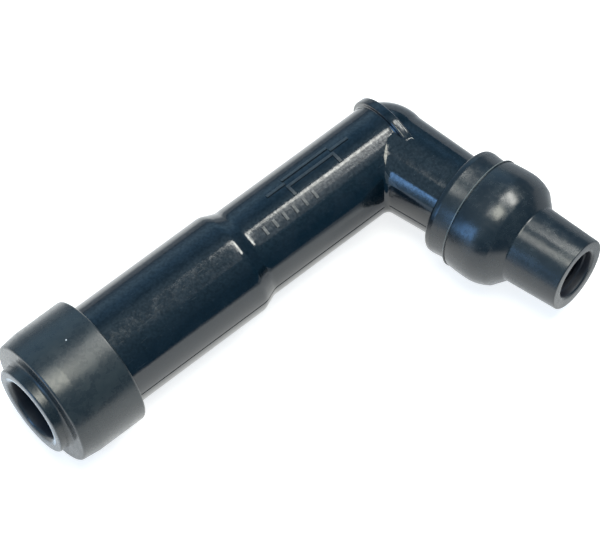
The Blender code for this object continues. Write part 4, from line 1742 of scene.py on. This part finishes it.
@dataclass(frozen=True)
class Studio:
    """Plain pale floor, soft lamps and a pale surrounding.

    Attributes:
        floor_beyond: the floor's colour in reflections, outside the pool of light about the object.
        pool_back, pool_right, pool_front: where the pool ends on each side.
        band_places: shares of the half turn from the wall behind to the front, for the bands' colours.
        side_range: how far sideways a direction points where the side wall takes over.
    """

    floor_size: float = 8.0
    floor_colour: Colour = (0.62, 0.60, 0.58)
    floor_rough: float = 0.9
    floor_glow: float = 0.78
    floor_beyond: Colour = (0.42, 0.42, 0.44)
    pool_back: float = 0.050
    pool_back_fade: float = 0.03
    pool_right: float = 0.022
    pool_right_fade: float = 0.035
    pool_front: float = -0.25
    pool_front_fade: float = 0.1
    horizon: Colour = (0.22, 0.30, 0.40)
    back_wall: Colour = (0.46, 0.74, 1.00)
    back_middle: Colour = (0.22, 0.44, 0.70)
    back_top: Colour = (0.15, 0.28, 0.42)
    ceiling: Colour = (0.38, 0.57, 0.72)
    front_top: Colour = (0.20, 0.36, 0.50)
    front_wall: Colour = (0.05, 0.15, 0.26)
    band_places: tuple[float, ...] = (0.0, 0.10, 0.20, 0.31, 0.38, 0.58, 0.68, 0.88)
    side_wall: Colour = (0.09, 0.18, 0.28)
    side_range: tuple[float, float] = (0.76, 0.88)
    lamp_height: float = 0.9
    strip_row: float = 0.3425
    strip_width: float = 0.065
    window_distance: float = 1.2
    window_azimuth: float = math.radians(168)
    window_height: float = math.radians(24)
    window_size: tuple[float, float] = (0.24, 0.55)
    window_colour: Colour = (0.23, 0.50, 1.0)
    window_brightness: float = 6.0

    def floor(self) -> Shape:
        """Add the floor just under the object."""
        bpy.ops.object.select_all(action="DESELECT")
        bpy.ops.mesh.primitive_plane_add(size=self.floor_size, location=(0, 0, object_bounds()[0][2]))
        floor = bpy.context.object
        floor.name = "studio_floor"
        bpy.ops.object.transform_apply(location=True, rotation=True, scale=True)
        material, graph, shader = material_graph("pale_floor")
        right, back, _ = graph.parts(graph.places())
        pool = graph.product(
            graph.spread(back, self.pool_back, self.pool_back + self.pool_back_fade, 1.0, 0.0),
            graph.spread(right, self.pool_right, self.pool_right + self.pool_right_fade, 1.0, 0.0),
            graph.spread(back, self.pool_front - self.pool_front_fade, self.pool_front),
        )
        path = graph.node("LightPath", {}).outputs
        mirrored = graph.product(path["Is Glossy Ray"], pool)
        beyond = graph.math("SUBTRACT", path["Is Glossy Ray"], mirrored)
        seen = graph.math("MAXIMUM", path["Is Camera Ray"], mirrored)
        seen = graph.math("MAXIMUM", seen, path["Is Transmission Ray"])
        graph.feed(shader, {
            "Base Color": graph.blend(beyond, self.floor_colour, self.floor_beyond),
            "Roughness": self.floor_rough,
            "Specular IOR Level": 0.0,
            "Emission Color": (1.0, 1.0, 1.0, 1.0),
            "Emission Strength": graph.product(seen, self.floor_glow),
        })
        floor.data.materials.append(material)
        floor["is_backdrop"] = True
        return floor

    def surroundings(self) -> None:
        """Light the world in soft bands, from the wall behind over the ceiling to the darker front."""
        world = bpy.data.worlds.new("studio_surroundings")
        bpy.context.scene.world = world
        world.use_nodes = True
        graph = Graph(world.node_tree)
        across, ahead, up = graph.parts(graph.node("TexCoord", {}).outputs["Generated"])
        share = graph.math("DIVIDE", graph.math("ARCTAN2", up, ahead), math.pi)
        colours = (self.horizon, self.back_wall, self.back_middle, self.back_top,
                   self.ceiling, self.ceiling, self.front_top, self.front_wall)
        bands = graph.ramp(share, list(zip(self.band_places, colours)))
        colour = graph.blend(graph.spread(across, *self.side_range), bands, self.side_wall)
        graph.feed(world.node_tree.nodes["Background"], {"Color": colour})

    def lamps(self) -> list[Shape]:
        """Add the softboxes overhead, the blue window at the plug's end and a pale side light."""
        height, strip, width = self.lamp_height, self.strip_row, self.strip_width
        level = self.window_distance * math.cos(self.window_height)
        window = (level * math.cos(self.window_azimuth), level * math.sin(self.window_azimuth),
                  self.window_distance * math.sin(self.window_height))
        boxes = [
            SoftLamp("overhead_softbox", (0.015, -0.15, height), (0.35, 0.42), (1.0, 0.99, 0.86), 8.2),
            SoftLamp("low_softbox", (-0.15, 0.13, height), (0.30, 0.14), (1.0, 0.99, 0.92), 4.2),
            SoftLamp("edge_strip", (strip, 0.18, height), (width, 0.11), (1.0, 0.99, 0.92), 13.0),
            SoftLamp("middle_strip", (strip, 0.055, height), (width, 0.13), (1.0, 0.99, 0.94), 3.4),
            SoftLamp("middle_glow", (strip, -0.095, height), (width, 0.20), (1.0, 0.99, 0.96), 1.6),
            SoftLamp("front_glow", (strip, -0.345, height), (width, 0.30), (1.0, 0.99, 0.98), 0.6),
            SoftLamp("inner_softbox", (0.408, 0.04, height), (0.055, 0.46), (1.0, 0.99, 0.94), 9.0),
            SoftLamp("bright_softbox", (0.685, -0.03, height), (0.37, 0.60), (1.0, 0.99, 0.92), 12.0),
            SoftLamp("blue_window", window, self.window_size, self.window_colour,
                     self.window_brightness, aimed=True),
            SoftLamp("pale_side", (-1.2, -0.04, 0.14), (0.5, 0.2), (0.75, 0.85, 1.0), 0.8, aimed=True),
        ]
        return [box.build() for box in boxes]

    def build(self) -> None:
        """Set the studio up."""
        self.floor()
        self.surroundings()
        self.lamps()
        bpy.context.scene.view_settings.view_transform = "Standard"


def main() -> None:
    """Build and dress the cap, then set up the studio and the camera."""
    housing, plug_boot, lead_boot, resistor = Housing(), PlugBoot(), LeadBoot(), Resistor()
    yellow, tarnish = (0.72, 0.52, 0.26), (0.42, 0.27, 0.12)
    brass = TurnedMetal("turned_brass", Limb.LONG, yellow, tarnish).material()
    stud_brass = TurnedMetal("stud_brass", Limb.SHORT, yellow, tarnish).material()
    steel = TurnedMetal("spring_steel_wire", Limb.LONG, (0.55, 0.56, 0.57), (0.30, 0.29, 0.28)).material()
    fit_out(housing.build(), Phenolic().material(), "housing")
    fit_out(plug_boot.build(housing), plug_boot.rubber().material(), "plug_boot")
    fit_out(lead_boot.build(), lead_boot.rubber().material(), "lead_boot")
    fit_out(PlugTerminal().build(), brass, "plug_terminal")
    fit_out(SnapClip().build(), steel, "snap_clip")
    fit_out(ContactSpring().build(), steel, "contact_spring")
    fit_out(resistor.rod(), Ceramic().material(), "resistor_rod")
    fit_out(resistor.cap("rear_resistor_cap", *resistor.rear_cap), brass, "resistor_cap_rear")
    fit_out(resistor.cap("front_resistor_cap", *resistor.front_cap), brass, "resistor_cap_front")
    fit_out(resistor.contact_disc(), brass, "contact_disc")
    fit_out(LeadScrew().build(), stud_brass, "lead_screw")
    Studio().build()
    Viewpoint().build()


if __name__ == "__main__":
    logging.basicConfig(level=logging.INFO, format="%(name)s: %(message)s")
    main()
